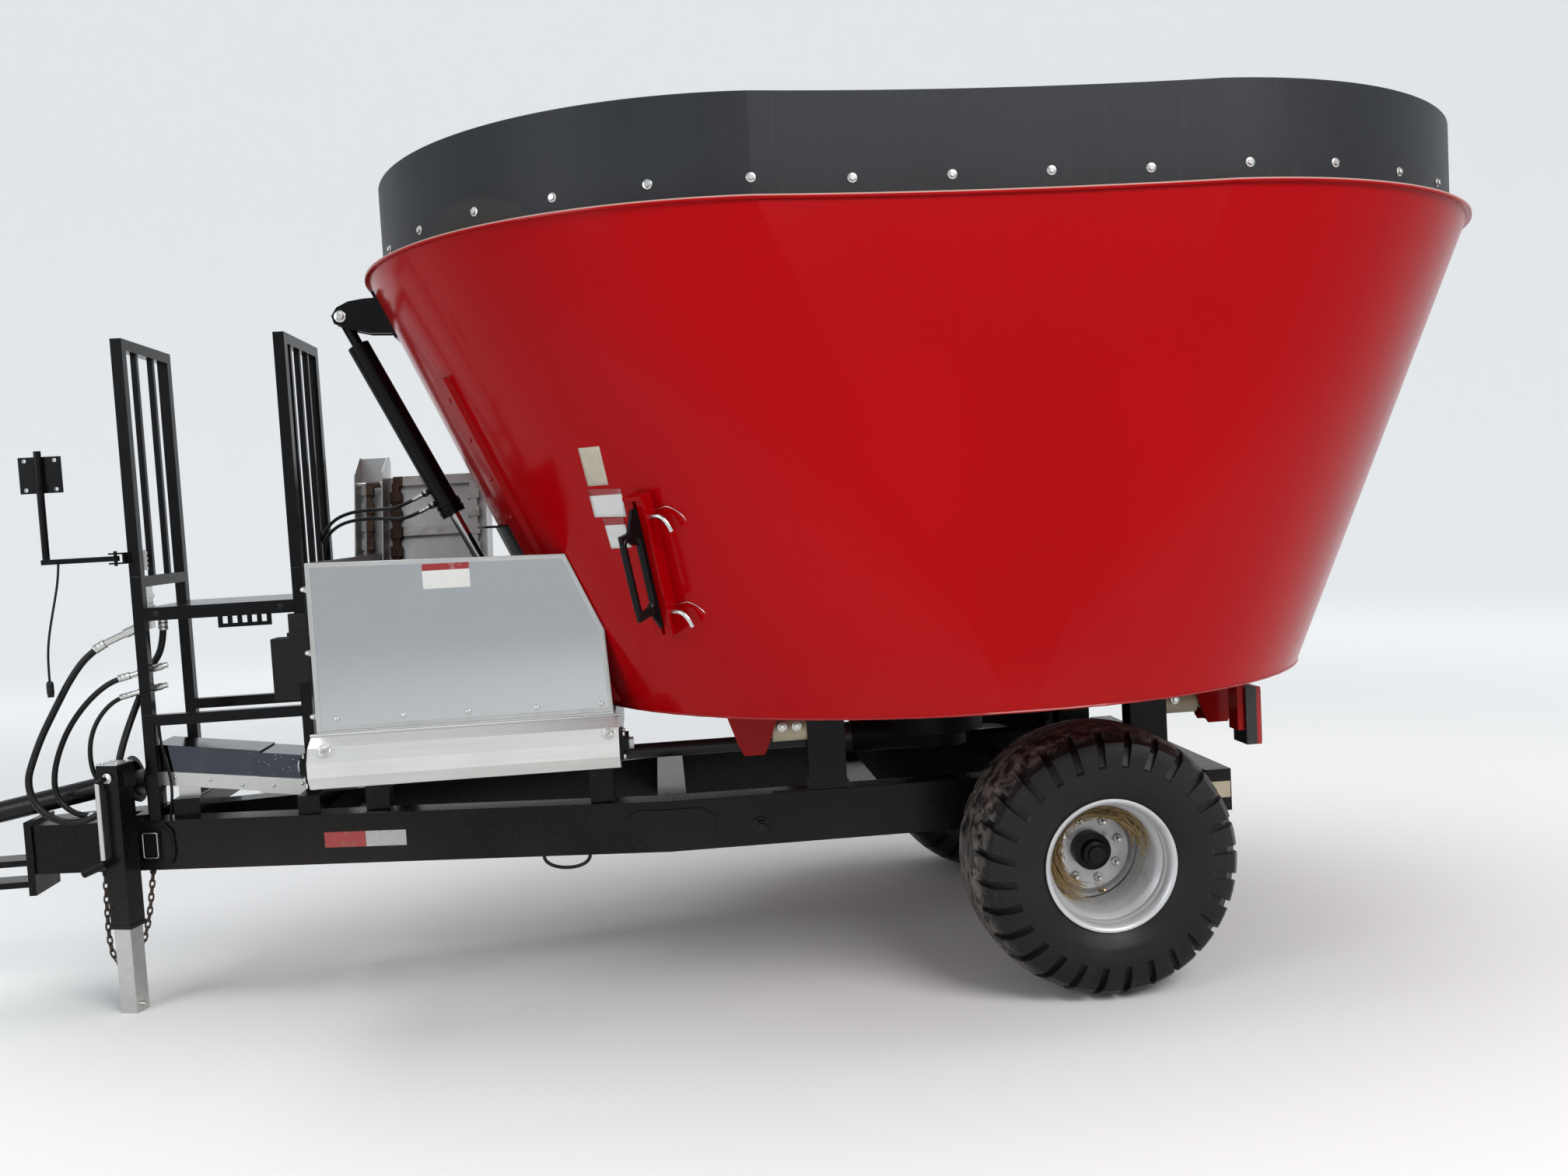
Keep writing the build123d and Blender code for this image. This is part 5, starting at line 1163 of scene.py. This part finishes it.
class MIXER_OT_wheel_rims(bpy.types.Operator):
    """Rolled wheel rims with bead seats, humps and a drop centre, and their dished discs"""
    bl_idname = "mixer.wheel_rims"
    bl_label = "Wheel rims"

    def execute(self, context):
        lip = np.array([
            (0.1967, 0.9400), (0.2150, 0.9470), (0.2150, 0.9502), (0.2132, 0.9520),
            (0.2088, 0.9520), (0.2050, 0.9504), (0.2000, 0.9455), (0.1955, 0.9390),
            (0.1936, 0.9310), (0.1934, 0.9110), (0.1900, 0.9070), (0.1896, 0.9000),
            (0.1915, 0.8950), (0.1910, 0.8840), (0.1780, 0.8700), (0.1735, 0.8600),
            (0.1725, 0.8480), (0.1725, WHEEL_Y)])
        back = lip[::-1] * (1, -1) + (0, 2 * WHEEL_Y)
        barrel = lathe(np.concatenate([lip, back[1:]]), 96, closed=True)
        disc = lathe([
            (0.0326, DISC_Y), (0.1355, DISC_Y), (0.1400, 0.7140), (0.1575, 0.6935),
            (0.1615, 0.692), (0.1726, 0.692), (0.1726, 0.680), (0.152, 0.680),
            (0.130, 0.706), (0.0326, 0.706)], 96, closed=True).flipped()
        for side, name in ((-1, "left"), (1, "right")):
            rim = (barrel + disc).on([(WHEEL_X, 0.0, WHEEL_Z)], [(0, side, 0)])
            piece = make_piece(f"rolled_rim_{name}", rim, "rim_silver",
                               f"wheel_{name}")
            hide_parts(f"rim_{name}")
        return {"FINISHED"}


class MIXER_OT_straw(bpy.types.Operator):
    """Straws caught in the left wheel's dish, each a thin three-sided stalk bowed as a parabola"""
    bl_idname = "mixer.straw"
    bl_label = "Straw"

    def execute(self, context):
        count = context.scene.mixer_fittings.straw
        if not count:
            return {"FINISHED"}
        dice = np.random.default_rng(7)
        heap = dice.random(count) < 0.60
        turn = np.where(heap, dice.normal(1.25, 0.48, count), dice.normal(3.15, 0.55, count))
        deep = dice.random(count) ** 1.6
        reach = np.where(heap, 0.1690 - 0.045 * deep, 0.1690 - 0.065 * deep)
        length = dice.uniform(0.025, 0.105, count)
        depth = -np.where(heap, 0.726 + 0.120 * dice.random(count) ** 1.4,
                          0.724 + 0.045 * dice.random(count))
        middle = np.stack([WHEEL_X + reach * np.cos(turn), depth,
                           WHEEL_Z + reach * np.sin(turn)], -1)
        lean = dice.normal(0, 0.55, count)
        along = np.stack([-np.sin(turn) * np.cos(lean), np.sin(lean),
                          np.cos(turn) * np.cos(lean)], -1)
        inward = np.stack([-np.cos(turn), np.zeros(count), -np.sin(turn)], -1)
        t = np.linspace(-0.5, 0.5, 5)
        bow = dice.uniform(-0.05, 0.35, count)
        sag = (bow * length)[:, None] * (0.25 - t ** 2)[None]
        line = middle[:, None] + along[:, None] * (length[:, None] * t)[..., None]
        line = line - inward[:, None] * sag[..., None]
        side = unit(np.cross(along, inward))
        corner = circle(3)[None, :, None]
        ring = side[:, None] * np.cos(corner) + inward[:, None] * np.sin(corner)
        thick = dice.uniform(0.0008, 0.0017, count)[:, None, None, None]
        points = (line[:, :, None] + ring[:, None] * thick).reshape(-1, 3)
        shift = np.arange(count)[:, None, None] * 15
        faces = [(quads(5, 3)[None] + shift).reshape(-1, 4),
                 (np.array([[2, 1, 0], [12, 13, 14]])[None] + shift).reshape(-1, 3)]
        make_piece("wheel_straw", Shape(points, faces), "straw", "wheel_left")
        return {"FINISHED"}


# Drawbar frame

def rail_y(x):
    """The near rail's outer face: a straight slant back to the kink and level beyond it."""
    return -np.interp(x, [0.196, 2.446], [0.087, 0.480])


def rail_band(x, low, high, lift, edge=0.0):
    """A thin plate on the near rail's face: four corners at each x, from the low to the high
    height, the outer two drawn in by edge and lifted off the face.
    """
    low, high = np.broadcast_to(low, x.shape), np.broadcast_to(high, x.shape)
    foot, top = rail_y(x), rail_y(x) - lift
    ring = ((foot, low), (top, low + edge), (top, high - edge), (foot, high))
    return rings(np.stack([np.stack([x, y, z], -1) for y, z in ring], 1))


class MIXER_OT_rail_tape(bpy.types.Operator):
    """Red and white reflecting tape on the rails and pale tape on the rear beam's ends"""
    bl_idname = "mixer.rail_tape"
    bl_label = "Reflecting tape"

    def execute(self, context):
        half = context.scene.mixer_fittings.tape_height / 2
        middle = 0.090
        for name, first, last, slot in (("tape_red", 1.247, 1.392, "lamp_red"),
                                        ("tape_white", 1.393, 1.535, "hood_white")):
            band = rail_band(np.linspace(first, last, 24), middle - half, middle + half, 0.0008)
            make_piece(name, band.both_sides(), name, smooth=False)
        plate = slab(rounded(0.082, 0.056, 0.003), [(0, 0), (0, 0.0008), (0.01, 0.0010)])
        ends = on_both_sides(plate, 4.335, 0.6100, 0.104)
        make_piece("tape_cream", ends, "tape_cream", smooth=False)
        return {"FINISHED"}


class MIXER_OT_frame_details(bpy.types.Operator):
    """Chain loops, joint plates, holder ring, studs, weld beads and stand bolts of the frame"""
    bl_idname = "mixer.frame_details"
    bl_label = "Frame details"

    def execute(self, context):
        t = np.linspace(0, math.pi, 25)
        x = 2.088 + 0.080 * np.cos(t)
        path = np.stack([x, rail_y(x) + 0.014, 0.008 - 0.048 * np.sin(t) ** 0.8], -1)
        eye = tube(path, 0.0062, 10, False, (0, 1, 0))
        make_piece("chain_loop", eye.both_sides(), "weld_black")
        first, last = 2.292, 2.600
        x = np.linspace(first, last, 45)
        cut = np.clip(np.minimum(x - first, last - x) / 0.045, 0, 1)
        plate = rail_band(x, 0.050 - 0.030 * cut, 0.122 + 0.030 * cut, 0.006, 0.001)
        make_piece("joint_plates", plate.both_sides(), "chassis_black",
                   smooth=False)
        way = unit([2.25, -0.393, 0.0])
        out = np.array([way[1], -way[0], 0.0])
        edge = rounded(0.052, 0.088, 0.006)
        middle = np.array([0.628, rail_y(0.628), 0.095]) + out * 0.0105
        path = middle + way * edge[:, :1] + np.array(UPWARD) * edge[:, 1:]
        holder = tube(path, 0.0024, 8, True, out)
        make_piece("holder_ring", holder, "zinc")
        stud = joined([
            lathe([(0.030, 0.0), (0.030, 0.004), (0.028, 0.006)], 28), hex_bolt(0.022, False),
            lathe([(0.0125, 0.0), (0.0125, 0.024), (0.011, 0.026)], 20)])
        studs = on_both_sides(stud, 2.757, 0.4795, 0.073)
        make_piece("rail_studs", studs, "weld_black")
        beads = joined([weld(start, end, 0.0042) for start, end in (
            ((2.805, -0.474, 0.182), (2.935, -0.474, 0.182)),
            ((4.212, -0.474, 0.182), (4.290, -0.474, 0.182)),
            ((4.2895, -0.481, 0.020), (4.2895, -0.481, 0.150)),
            ((0.622, -0.141, 0.181), (0.656, -0.141, 0.181)),
            ((1.170, -0.141, 0.181), (1.204, -0.141, 0.181)),
            ((1.400, -0.300, 0.182), (1.480, -0.314, 0.182)),
        )])
        make_piece("frame_welds", beads.both_sides(), "weld_black")
        stands = [(x, -0.475, 0.405) for x in (2.850, 2.900, 4.245)]
        bolts = hex_bolt(0.0115).on(stands, NEARWARD)
        make_piece("stand_bolts", bolts.both_sides(), "zinc")
        return {"FINISHED"}


class MIXER_OT_jack_details(bpy.types.Operator):
    """Pale cap, its bolts, the gear's nut and the crank's arm on the parking jack"""
    bl_idname = "mixer.jack_details"
    bl_label = "Jack details"

    def execute(self, context):
        turn = math.radians(-18)
        middle = np.array([0.549, -0.222, 0.402])
        cap = slab(rounded(0.084, 0.084, 0.006), [(0, 0), (0, 0.0045), (0.02, 0.0055)])
        x_way = np.array([math.cos(turn), math.sin(turn), 0.0])
        y_way = np.array([-math.sin(turn), math.cos(turn), 0.0])
        lid = cap.moved([np.stack([x_way, y_way, (0, 0, 1), middle], -1)])
        make_piece("jack_cap", lid, "plate_steel", bevel=0.0006)
        corner = corners(0.027)
        heads = middle + corner[:, :1] * x_way + corner[:, 1:] * y_way + (0, 0, 0.0055)
        face = middle - y_way * 0.0422 + (0, 0, -0.044)
        nuts = hex_bolt(0.0058, False).on(heads, UPWARD) + hex_bolt(0.0125).on([face], [-y_way])
        make_piece("jack_bolts", nuts, "zinc")
        foot = middle * (1, 1, 0) - x_way * 0.022 - y_way * 0.064
        arm = [foot + (0, 0, z) for z in (0.346, 0.250, 0.160, 0.080)]
        make_piece("crank_arm", tube(arm, 0.0092, 14, False, (0, 1, 0)), "zinc")
        return {"FINISHED"}


# Door cylinder, platform and lamps

class MIXER_OT_ram_fittings(bpy.types.Operator):
    """Washers and split pins on the cylinder's pins, the gland's ring and the port nuts"""
    bl_idname = "mixer.ram_fittings"
    bl_label = "Cylinder fittings"

    def execute(self, context):
        top = np.array([1.381, 0.0, 1.928])
        gland = np.array([1.725, 0.0, 1.208])
        way = unit(gland - top)
        t = np.linspace(0, math.pi * 1.6, 12)
        split = np.stack([0.009 * np.cos(t), 0.009 * np.sin(t), np.full(12, 0.0045)], -1)
        washer = lathe([(0.021, -0.001), (0.021, 0.002), (0.019, 0.003)], 28)
        nut = lathe([(0.0135, 0.0), (0.0135, 0.004), (0.011, 0.006)], 24)
        ends = washer + nut + tube(split, 0.0016, 6, False, UPWARD)
        places = np.array([top + (0, side * 0.0415, 0) for side in (-1, 1)])
        make_piece("ram_pin_ends", ends.on(places, [(0, -1, 0), (0, 1, 0)]), "zinc")
        ring = lathe([(0.0452, 0.0), (0.0475, 0.002), (0.0475, 0.009), (0.0452, 0.011)], 36)
        places = [gland - way * 0.038, gland - way * 0.016]
        make_piece("ram_gland_rings", ring.on(places, [way, way]),
                   "black_paint", "ram_barrel")
        out = np.array([way[2], 0.0, -way[0]])
        ports = np.array([top + way * d + out * 0.047 for d in (0.690, 0.740)])
        nuts = hex_bolt(0.0155, False).on(ports, out)
        make_piece("ram_port_nuts", nuts, "zinc", "ram_barrel")
        return {"FINISHED"}


class MIXER_OT_platform_details(bpy.types.Operator):
    """Deck bolts, cooling fins, weld beads at the posts and eyelets in the indicator plate"""
    bl_idname = "mixer.platform_details"
    bl_label = "Platform details"

    def execute(self, context):
        starts = [(x, -0.5, 0.907) for x in (0.700, 1.125)]
        places, normals = seats("platform_deck", starts, LEVEL_Y)
        bolts = hex_bolt(0.0075).on(places, normals)
        make_piece("platform_bolts", bolts, "weld_black")
        rises = [0, 0, 10, 10, 18, 18, 28, 28, 36, 36, 46, 46, 54, 54, 64, 64, 72, 72]
        proud = [0, 1, 1, 0, 0, 1, 1, 0, 0, 1, 1, 0, 0, 1, 1, 0, 0, 0]
        layers = []
        for rise, out in zip(rises, proud):
            edge = rounded(0.030 + 0.008 * out, 0.034 + 0.008 * out, 0.003, 4)
            layers.append(np.concatenate([edge, np.full((len(edge), 1), rise / 1000)], 1))
        fins = rings(np.stack(layers)).shifted((0.640, -0.082, 1.0625))
        make_piece("cooling_fins", fins, "plate_steel", smooth=False, bevel=0.0006)
        beads = joined([weld((x + 0.002, -0.1405, z), (x + 0.036, -0.1405, z), 0.0026)
                        for x in (0.620, 1.168) for z in (1.041, 0.551)])
        make_piece("platform_welds", beads, "weld_black")
        rims = [(PLATE_X + x, -0.1470, PLATE_Z + z) for x, z in corners(0.050)]
        eyelets = loop(0.0062, 0.0011, 20).on(rims, NEARWARD)
        make_piece("plate_eyelets", eyelets, "zinc", "indicator_arm")
        return {"FINISHED"}


class MIXER_OT_lamp_details(bpy.types.Operator):
    """Amber reflector, rim and screws of both tail lamps"""
    bl_idname = "mixer.lamp_details"
    bl_label = "Lamp details"

    def execute(self, context):
        sides = (-LAMP_Y, LAMP_Y)
        levels = [(0, 0), (0, 0.003), (0.06, 0.0055), (0.3, 0.0065)]
        amber = slab(rounded(0.074, 0.050, 0.008), levels)
        places = [(LAMP_X, y, 0.310) for y in sides]
        make_piece("lamp_reflectors", amber.on(places, LEVEL_X), "lamp_amber")
        edge = rounded(0.098, 0.188, 0.010)
        rims = joined([
            tube([(LAMP_X, y + across, LAMP_Z + up) for across, up in edge], 0.0022, 8, True,
                 LEVEL_X) for y in sides])
        make_piece("lamp_rims", rims, "box_black")
        screws = [(LAMP_X + 0.0002, y, z) for y in sides for z in (0.283, 0.457)]
        make_piece("lamp_screws", dome_bolt(0.0040).on(screws, LEVEL_X), "zinc")
        return {"FINISHED"}


# Hoses, leads and the safety chain. The routes repeat the points of the solid cords.

ROUTES = {
    "hose_long": (0.024, 1.621, "object", (
        (0.520, -0.138, 0.815), (0.462, -0.142, 0.782), (0.398, -0.147, 0.702),
        (0.343, -0.150, 0.606), (0.288, -0.153, 0.508), (0.250, -0.155, 0.420),
        (0.226, -0.155, 0.351), (0.239, -0.155, 0.274), (0.291, -0.154, 0.213),
        (0.368, -0.152, 0.188), (0.456, -0.150, 0.210), (0.515, -0.148, 0.279),
        (0.524, -0.140, 0.368), (0.540, -0.116, 0.452), (0.562, -0.080, 0.536),
        (0.592, -0.050, 0.622),
        (0.628, -0.044, 0.708), (0.682, -0.044, 0.786), (0.686, -0.044, 0.884))),
    "hose_middle": (0.020, 0.720, "object", (
        (0.575, -0.086, 0.692), (0.518, -0.087, 0.679), (0.454, -0.088, 0.638),
        (0.394, -0.088, 0.578), (0.344, -0.088, 0.508), (0.308, -0.088, 0.430),
        (0.287, -0.088, 0.357), (0.286, -0.088, 0.288),
        (0.318, -0.088, 0.232), (0.374, -0.088, 0.200), (0.434, -0.088, 0.199))),
    "hose_short": (0.016, 0.470, "object", (
        (0.575, -0.086, 0.625), (0.532, -0.092, 0.615), (0.488, -0.104, 0.582),
        (0.454, -0.116, 0.532), (0.434, -0.122, 0.474), (0.428, -0.122, 0.412),
        (0.434, -0.117, 0.350), (0.461, -0.100, 0.293),
        (0.463, -0.096, 0.234))),
    "wire_bundle": (0.010, 0.335, "object", (
        (0.666, -0.112, 0.512), (0.666, -0.112, 0.466), (0.675, -0.110, 0.396),
        (0.690, -0.106, 0.320),
        (0.690, -0.106, 0.246), (0.680, -0.110, 0.180))),
    "indicator_lead": (0.008, 0.411, "connector", (
        (0.394, -0.158, 1.100), (0.391, -0.163, 1.050), (0.381, -0.172, 0.988),
        (0.366, -0.178, 0.918),
        (0.350, -0.180, 0.844), (0.341, -0.180, 0.770), (0.341, -0.180, 0.695))),
    "door_hose_upper": (0.013, 0.747, "object", (
        (1.187, 0.236, 0.930), (1.184, 0.236, 0.992), (1.182, 0.236, 1.054), (1.187, 0.234, 1.116),
        (1.210, 0.228, 1.170), (1.252, 0.214, 1.208), (1.310, 0.190, 1.228), (1.372, 0.160, 1.234),
        (1.432, 0.120, 1.234), (1.484, 0.072, 1.233), (1.530, 0.026, 1.240), (1.5752, 0.0, 1.256),
        (1.6203, 0.0, 1.2775))),
    "door_hose_lower": (0.013, 0.751, "object", (
        (1.187, 0.257, 0.930), (1.184, 0.257, 0.990), (1.182, 0.257, 1.048), (1.189, 0.255, 1.106),
        (1.216, 0.248, 1.154), (1.262, 0.234, 1.186), (1.322, 0.208, 1.200), (1.384, 0.174, 1.202),
        (1.444, 0.132, 1.200), (1.498, 0.082, 1.194), (1.548, 0.032, 1.196), (1.5967, 0.0, 1.2108),
        (1.6418, 0.0, 1.2324))),
}


def crimps(points, diameter):
    """Grooved collars at both ends of a hose, set along its first and last run."""
    profile = np.array([
        (1.02, 0.0), (1.38, 0.001), (1.38, 0.010), (1.30, 0.012), (1.38, 0.014),
        (1.38, 0.024), (1.30, 0.026), (1.38, 0.028), (1.38, 0.040), (1.06, 0.042)])
    collar = lathe(profile * (diameter / 2, 1), 20)
    p = np.asarray(points, float)
    return collar.on([p[0], p[-1]], [p[1] - p[0], p[-2] - p[-1]])


class MIXER_OT_cords(bpy.types.Operator):
    """Hydraulic hoses, the cable loom and the indicator's lead, each one smooth curve"""
    bl_idname = "mixer.cords"
    bl_label = "Hoses and leads"

    def execute(self, context):
        for name, (diameter, length, far_end, points) in ROUTES.items():
            data = bpy.data.curves.new(name, "CURVE")
            data.dimensions = "3D"
            spline = data.splines.new("NURBS")
            spline.points.add(len(points) - 1)
            spline.points.foreach_set("co", [v for p in points for v in (*p, 1.0)])
            spline.order_u = 3
            spline.use_endpoint_u = True
            spline.resolution_u = 16
            data.bevel_depth = diameter / 2
            data.bevel_resolution = 5
            data.use_fill_caps = True
            data.materials.append(MATERIALS["hose_rubber"])
            body = "indicator_arm" if name == "indicator_lead" else ROOT
            cord = bpy.data.objects.new(f"{name}_cord", data)
            context.scene.collection.objects.link(cord)
            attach(cord, body)
            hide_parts(name)
            if far_end == "connector":
                plug = lathe([
                    (0.0050, 0.004), (0.0095, 0.0), (0.0118, -0.006), (0.0120, -0.018),
                    (0.0112, -0.020), (0.0120, -0.022), (0.0120, -0.040), (0.0105, -0.043),
                    (0.0105, -0.0525)], 24).flipped().on([points[-1]], UPWARD)
                make_piece("lead_plug", plug, "box_black", body)
            elif diameter > 0.012:
                collars = crimps(points, diameter)
                make_piece(f"{name}_crimps", collars, "zinc", body)
        return {"FINISHED"}


class MIXER_OT_safety_chain(bpy.types.Operator):
    """Welded links, each a stadium-shaped loop of wire, turned a quarter from the one before"""
    bl_idname = "mixer.safety_chain"
    bl_label = "Safety chain"

    def execute(self, context):
        route = [
            (0.436, -0.098, -0.004), (0.432, -0.100, -0.140), (0.433, -0.103, -0.240),
            (0.444, -0.107, -0.302), (0.468, -0.111, -0.337), (0.500, -0.114, -0.338),
            (0.530, -0.117, -0.312), (0.556, -0.119, -0.256),
            (0.584, -0.121, -0.160), (0.610, -0.123, -0.004)]
        path = smooth_path(route, 20)
        far, pitch = reach_along(path), 0.0242
        places = at_reach(path, far, np.linspace(0, far[-1], int(far[-1] / pitch) + 1))
        way = ways_along(places, False)
        side = unit(np.cross(way, (0.02, 1.0, 0.01)))
        third = np.cross(way, side)
        odd = (np.arange(len(places)) % 2 == 1)[:, None]
        across = np.where(odd, third, side)
        frames = np.stack([way, across, np.cross(way, across), places], -1)
        t = circle(20)
        turn = np.stack([np.cos(t), np.sin(t), np.zeros(20)], -1)
        oval = (0.0155, 0.0078, 0) * np.sign(turn) * np.abs(turn) ** 0.75
        links = tube(oval, 0.0034, 7, True, UPWARD).moved(frames)
        chain = make_piece("chain_links", links, "chain_steel")
        eyes = joined([
            tube([(x, y - 0.014, 0.003), (x, y, -0.007), (x, y + 0.014, 0.003)], 0.005, 8, False,
                 LEVEL_X) for x, y in ((0.436, -0.098), (0.610, -0.123))])
        make_piece("chain_eyes", eyes, "weld_black")
        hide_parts("safety_chain")
        return {"FINISHED"}


# Stage

def lamp(name, place, target, size, power, colour=(1, 1, 1)):
    data = bpy.data.lights.new(name, "AREA")
    data.shape = "RECTANGLE"
    data.size, data.size_y = size
    data.energy = power
    data.color = colour
    obj = bpy.data.objects.new(name, data)
    aim = Vector(target) - Vector(place)
    obj.matrix_world = Matrix.Translation(place) @ aim.to_track_quat("-Z", "Y").to_matrix().to_4x4()
    bpy.context.scene.collection.objects.link(obj)
    return obj


def floor_finish():
    """Pale floor that keeps the object's shadow; far out it is the same pale tone to the camera."""
    s = Shade("studio_floor", (0.80, 0.80, 0.79), 0.9, specular=0.1)
    rays = s.add("ShaderNodeLightPath").outputs
    seen = rays["Is Camera Ray"]
    for kind in ("Is Glossy Ray", "Is Transmission Ray"):
        seen = s.math("MAXIMUM", seen, rays[kind])
    far = s.vector("LENGTH", s.from_point((STAGE_X, 0.0, GROUND_Z)))
    glow = s.add("ShaderNodeMapRange", {"Value": far, "From Min": 3.5, "From Max": 13.0,
                                        "To Max": 0.42}, interpolation_type="SMOOTHERSTEP")
    s.parts["Emission Color"] = (0.86, 0.88, 0.90)
    s.parts["Emission Strength"] = s.math("MULTIPLY", glow.outputs["Result"], seen)
    for name, value in s.parts.items():
        s.put(value, s.shader.inputs[name])
    return s.material


class MIXER_OT_stage(bpy.types.Operator):
    """Pale round floor that curves up to a wall, soft lamps, and the camera at the photo's angle"""
    bl_idname = "mixer.stage"
    bl_label = "Stage"

    def execute(self, context):
        self.floor()
        self.lights(context.scene.mixer_stage)
        self.camera(context.scene)
        return {"FINISHED"}

    def floor(self):
        """A dish: level out to 17 m, then a quarter circle of 9 m, then upright for 14 m."""
        level, bend, wall = 17.0, 9.0, 14.0
        turn = np.linspace(0, math.pi / 2, 24)[1:]
        flat = np.linspace(0.02, level, 30)
        radius = np.concatenate([flat, level + bend * np.sin(turn), [level + bend]])
        height = np.concatenate([flat * 0, bend - bend * np.cos(turn), [bend + wall]])
        dish = lathe(np.stack([radius, height], -1), 96)
        points = dish.points + (STAGE_X, 0.0, GROUND_Z)
        data = bpy.data.meshes.new("floor")
        faces = dish.faces[0][:, ::-1].tolist() + dish.faces[1][:, ::-1].tolist()
        data.from_pydata(points.tolist(), [], faces)
        data.polygons.foreach_set("use_smooth", np.full(len(faces), True))
        data.materials.append(floor_finish())
        obj = bpy.data.objects.new("floor", data)
        bpy.context.scene.collection.objects.link(obj)

    def lights(self, stage):
        world = bpy.data.worlds.new("studio")
        bpy.context.scene.world = world
        world.use_nodes = True
        back = world.node_tree.nodes["Background"]
        back.inputs["Color"].default_value = (0.86, 0.92, 1.0, 1)
        back.inputs["Strength"].default_value = stage.sky
        lamp("key", (7.0, -7.5, 6.8), (3.0, -0.3, 0.7), (5, 4), stage.key, (1, 0.98, 0.95))
        lamp("fill", (-4.5, -6.0, 3.5), (1.5, 0, 0.5), (4, 4), stage.fill, (0.93, 0.96, 1))
        lamp("over", (3.0, 1.0, 8.5), (3.0, 0.3, 0.0), (8, 7), stage.over)
        bpy.context.scene.view_settings.view_transform = "Standard"

    def camera(self, scene):
        ahead = Vector((math.sin(CAMERA_YAW), math.cos(CAMERA_YAW), 0))
        right = Vector((math.cos(CAMERA_YAW), -math.sin(CAMERA_YAW), 0))
        up = Vector(UPWARD)
        look = ahead * math.cos(CAMERA_PITCH) + up * math.sin(CAMERA_PITCH)
        top = up * math.cos(CAMERA_PITCH) - ahead * math.sin(CAMERA_PITCH)
        cam_x = right * math.cos(CAMERA_ROLL) + top * math.sin(CAMERA_ROLL)
        cam_y = top * math.cos(CAMERA_ROLL) - right * math.sin(CAMERA_ROLL)
        turn = Matrix((cam_x, cam_y, -look)).transposed().to_4x4()
        data = bpy.data.cameras.new("photo_camera")
        data.lens = scene.mixer_stage.lens
        data.sensor_width = 36.0
        data.clip_end = 200.0
        camera = bpy.data.objects.new("photo_camera", data)
        camera.matrix_world = Matrix.Translation(CAMERA_PLACE) @ turn
        scene.collection.objects.link(camera)
        scene.camera = camera


OPERATORS = (
    MIXER_OT_finishes, MIXER_OT_stage, MIXER_OT_cords, MIXER_OT_safety_chain,
    MIXER_OT_ring_fasteners, MIXER_OT_tub_labels, MIXER_OT_tub_seams, MIXER_OT_hay_stops,
    MIXER_OT_panel_trim, MIXER_OT_hood_trim, MIXER_OT_shield_trim, MIXER_OT_wheel_rims,
    MIXER_OT_wheel_fittings, MIXER_OT_straw, MIXER_OT_rail_tape, MIXER_OT_frame_details,
    MIXER_OT_jack_details, MIXER_OT_ram_fittings, MIXER_OT_platform_details,
    MIXER_OT_lamp_details,
)


class MIXER_PT_looks(bpy.types.Panel):
    """Lists the settings and the steps that dress the mixer"""
    bl_idname = "MIXER_PT_looks"
    bl_label = "Mixer looks"
    bl_space_type = "VIEW_3D"
    bl_region_type = "UI"
    bl_category = "Mixer"

    def draw(self, context):
        scene = context.scene
        groups = {"Colours": scene.mixer_colours, "Fittings": scene.mixer_fittings,
                  "Stage": scene.mixer_stage}
        for title, group in groups.items():
            box = self.layout.box()
            box.label(text=title)
            for name in group.bl_rna.properties.keys():
                if name not in ("rna_type", "name"):
                    box.prop(group, name)
        column = self.layout.column()
        for operator in OPERATORS:
            column.operator(operator.bl_idname)


CLASSES = (MixerColours, MixerFittings, MixerStage, *OPERATORS, MIXER_PT_looks)


def register():
    for cls in CLASSES:
        bpy.utils.register_class(cls)
    bpy.types.Scene.mixer_colours = PointerProperty(type=MixerColours)
    bpy.types.Scene.mixer_fittings = PointerProperty(type=MixerFittings)
    bpy.types.Scene.mixer_stage = PointerProperty(type=MixerStage)


def unregister():
    del bpy.types.Scene.mixer_stage
    del bpy.types.Scene.mixer_fittings
    del bpy.types.Scene.mixer_colours
    for cls in reversed(CLASSES):
        bpy.utils.unregister_class(cls)


def main():
    register()
    for operator in OPERATORS:
        group, step = operator.bl_idname.split(".")
        getattr(getattr(bpy.ops, group), step)()


if __name__ == "__main__":
    main()
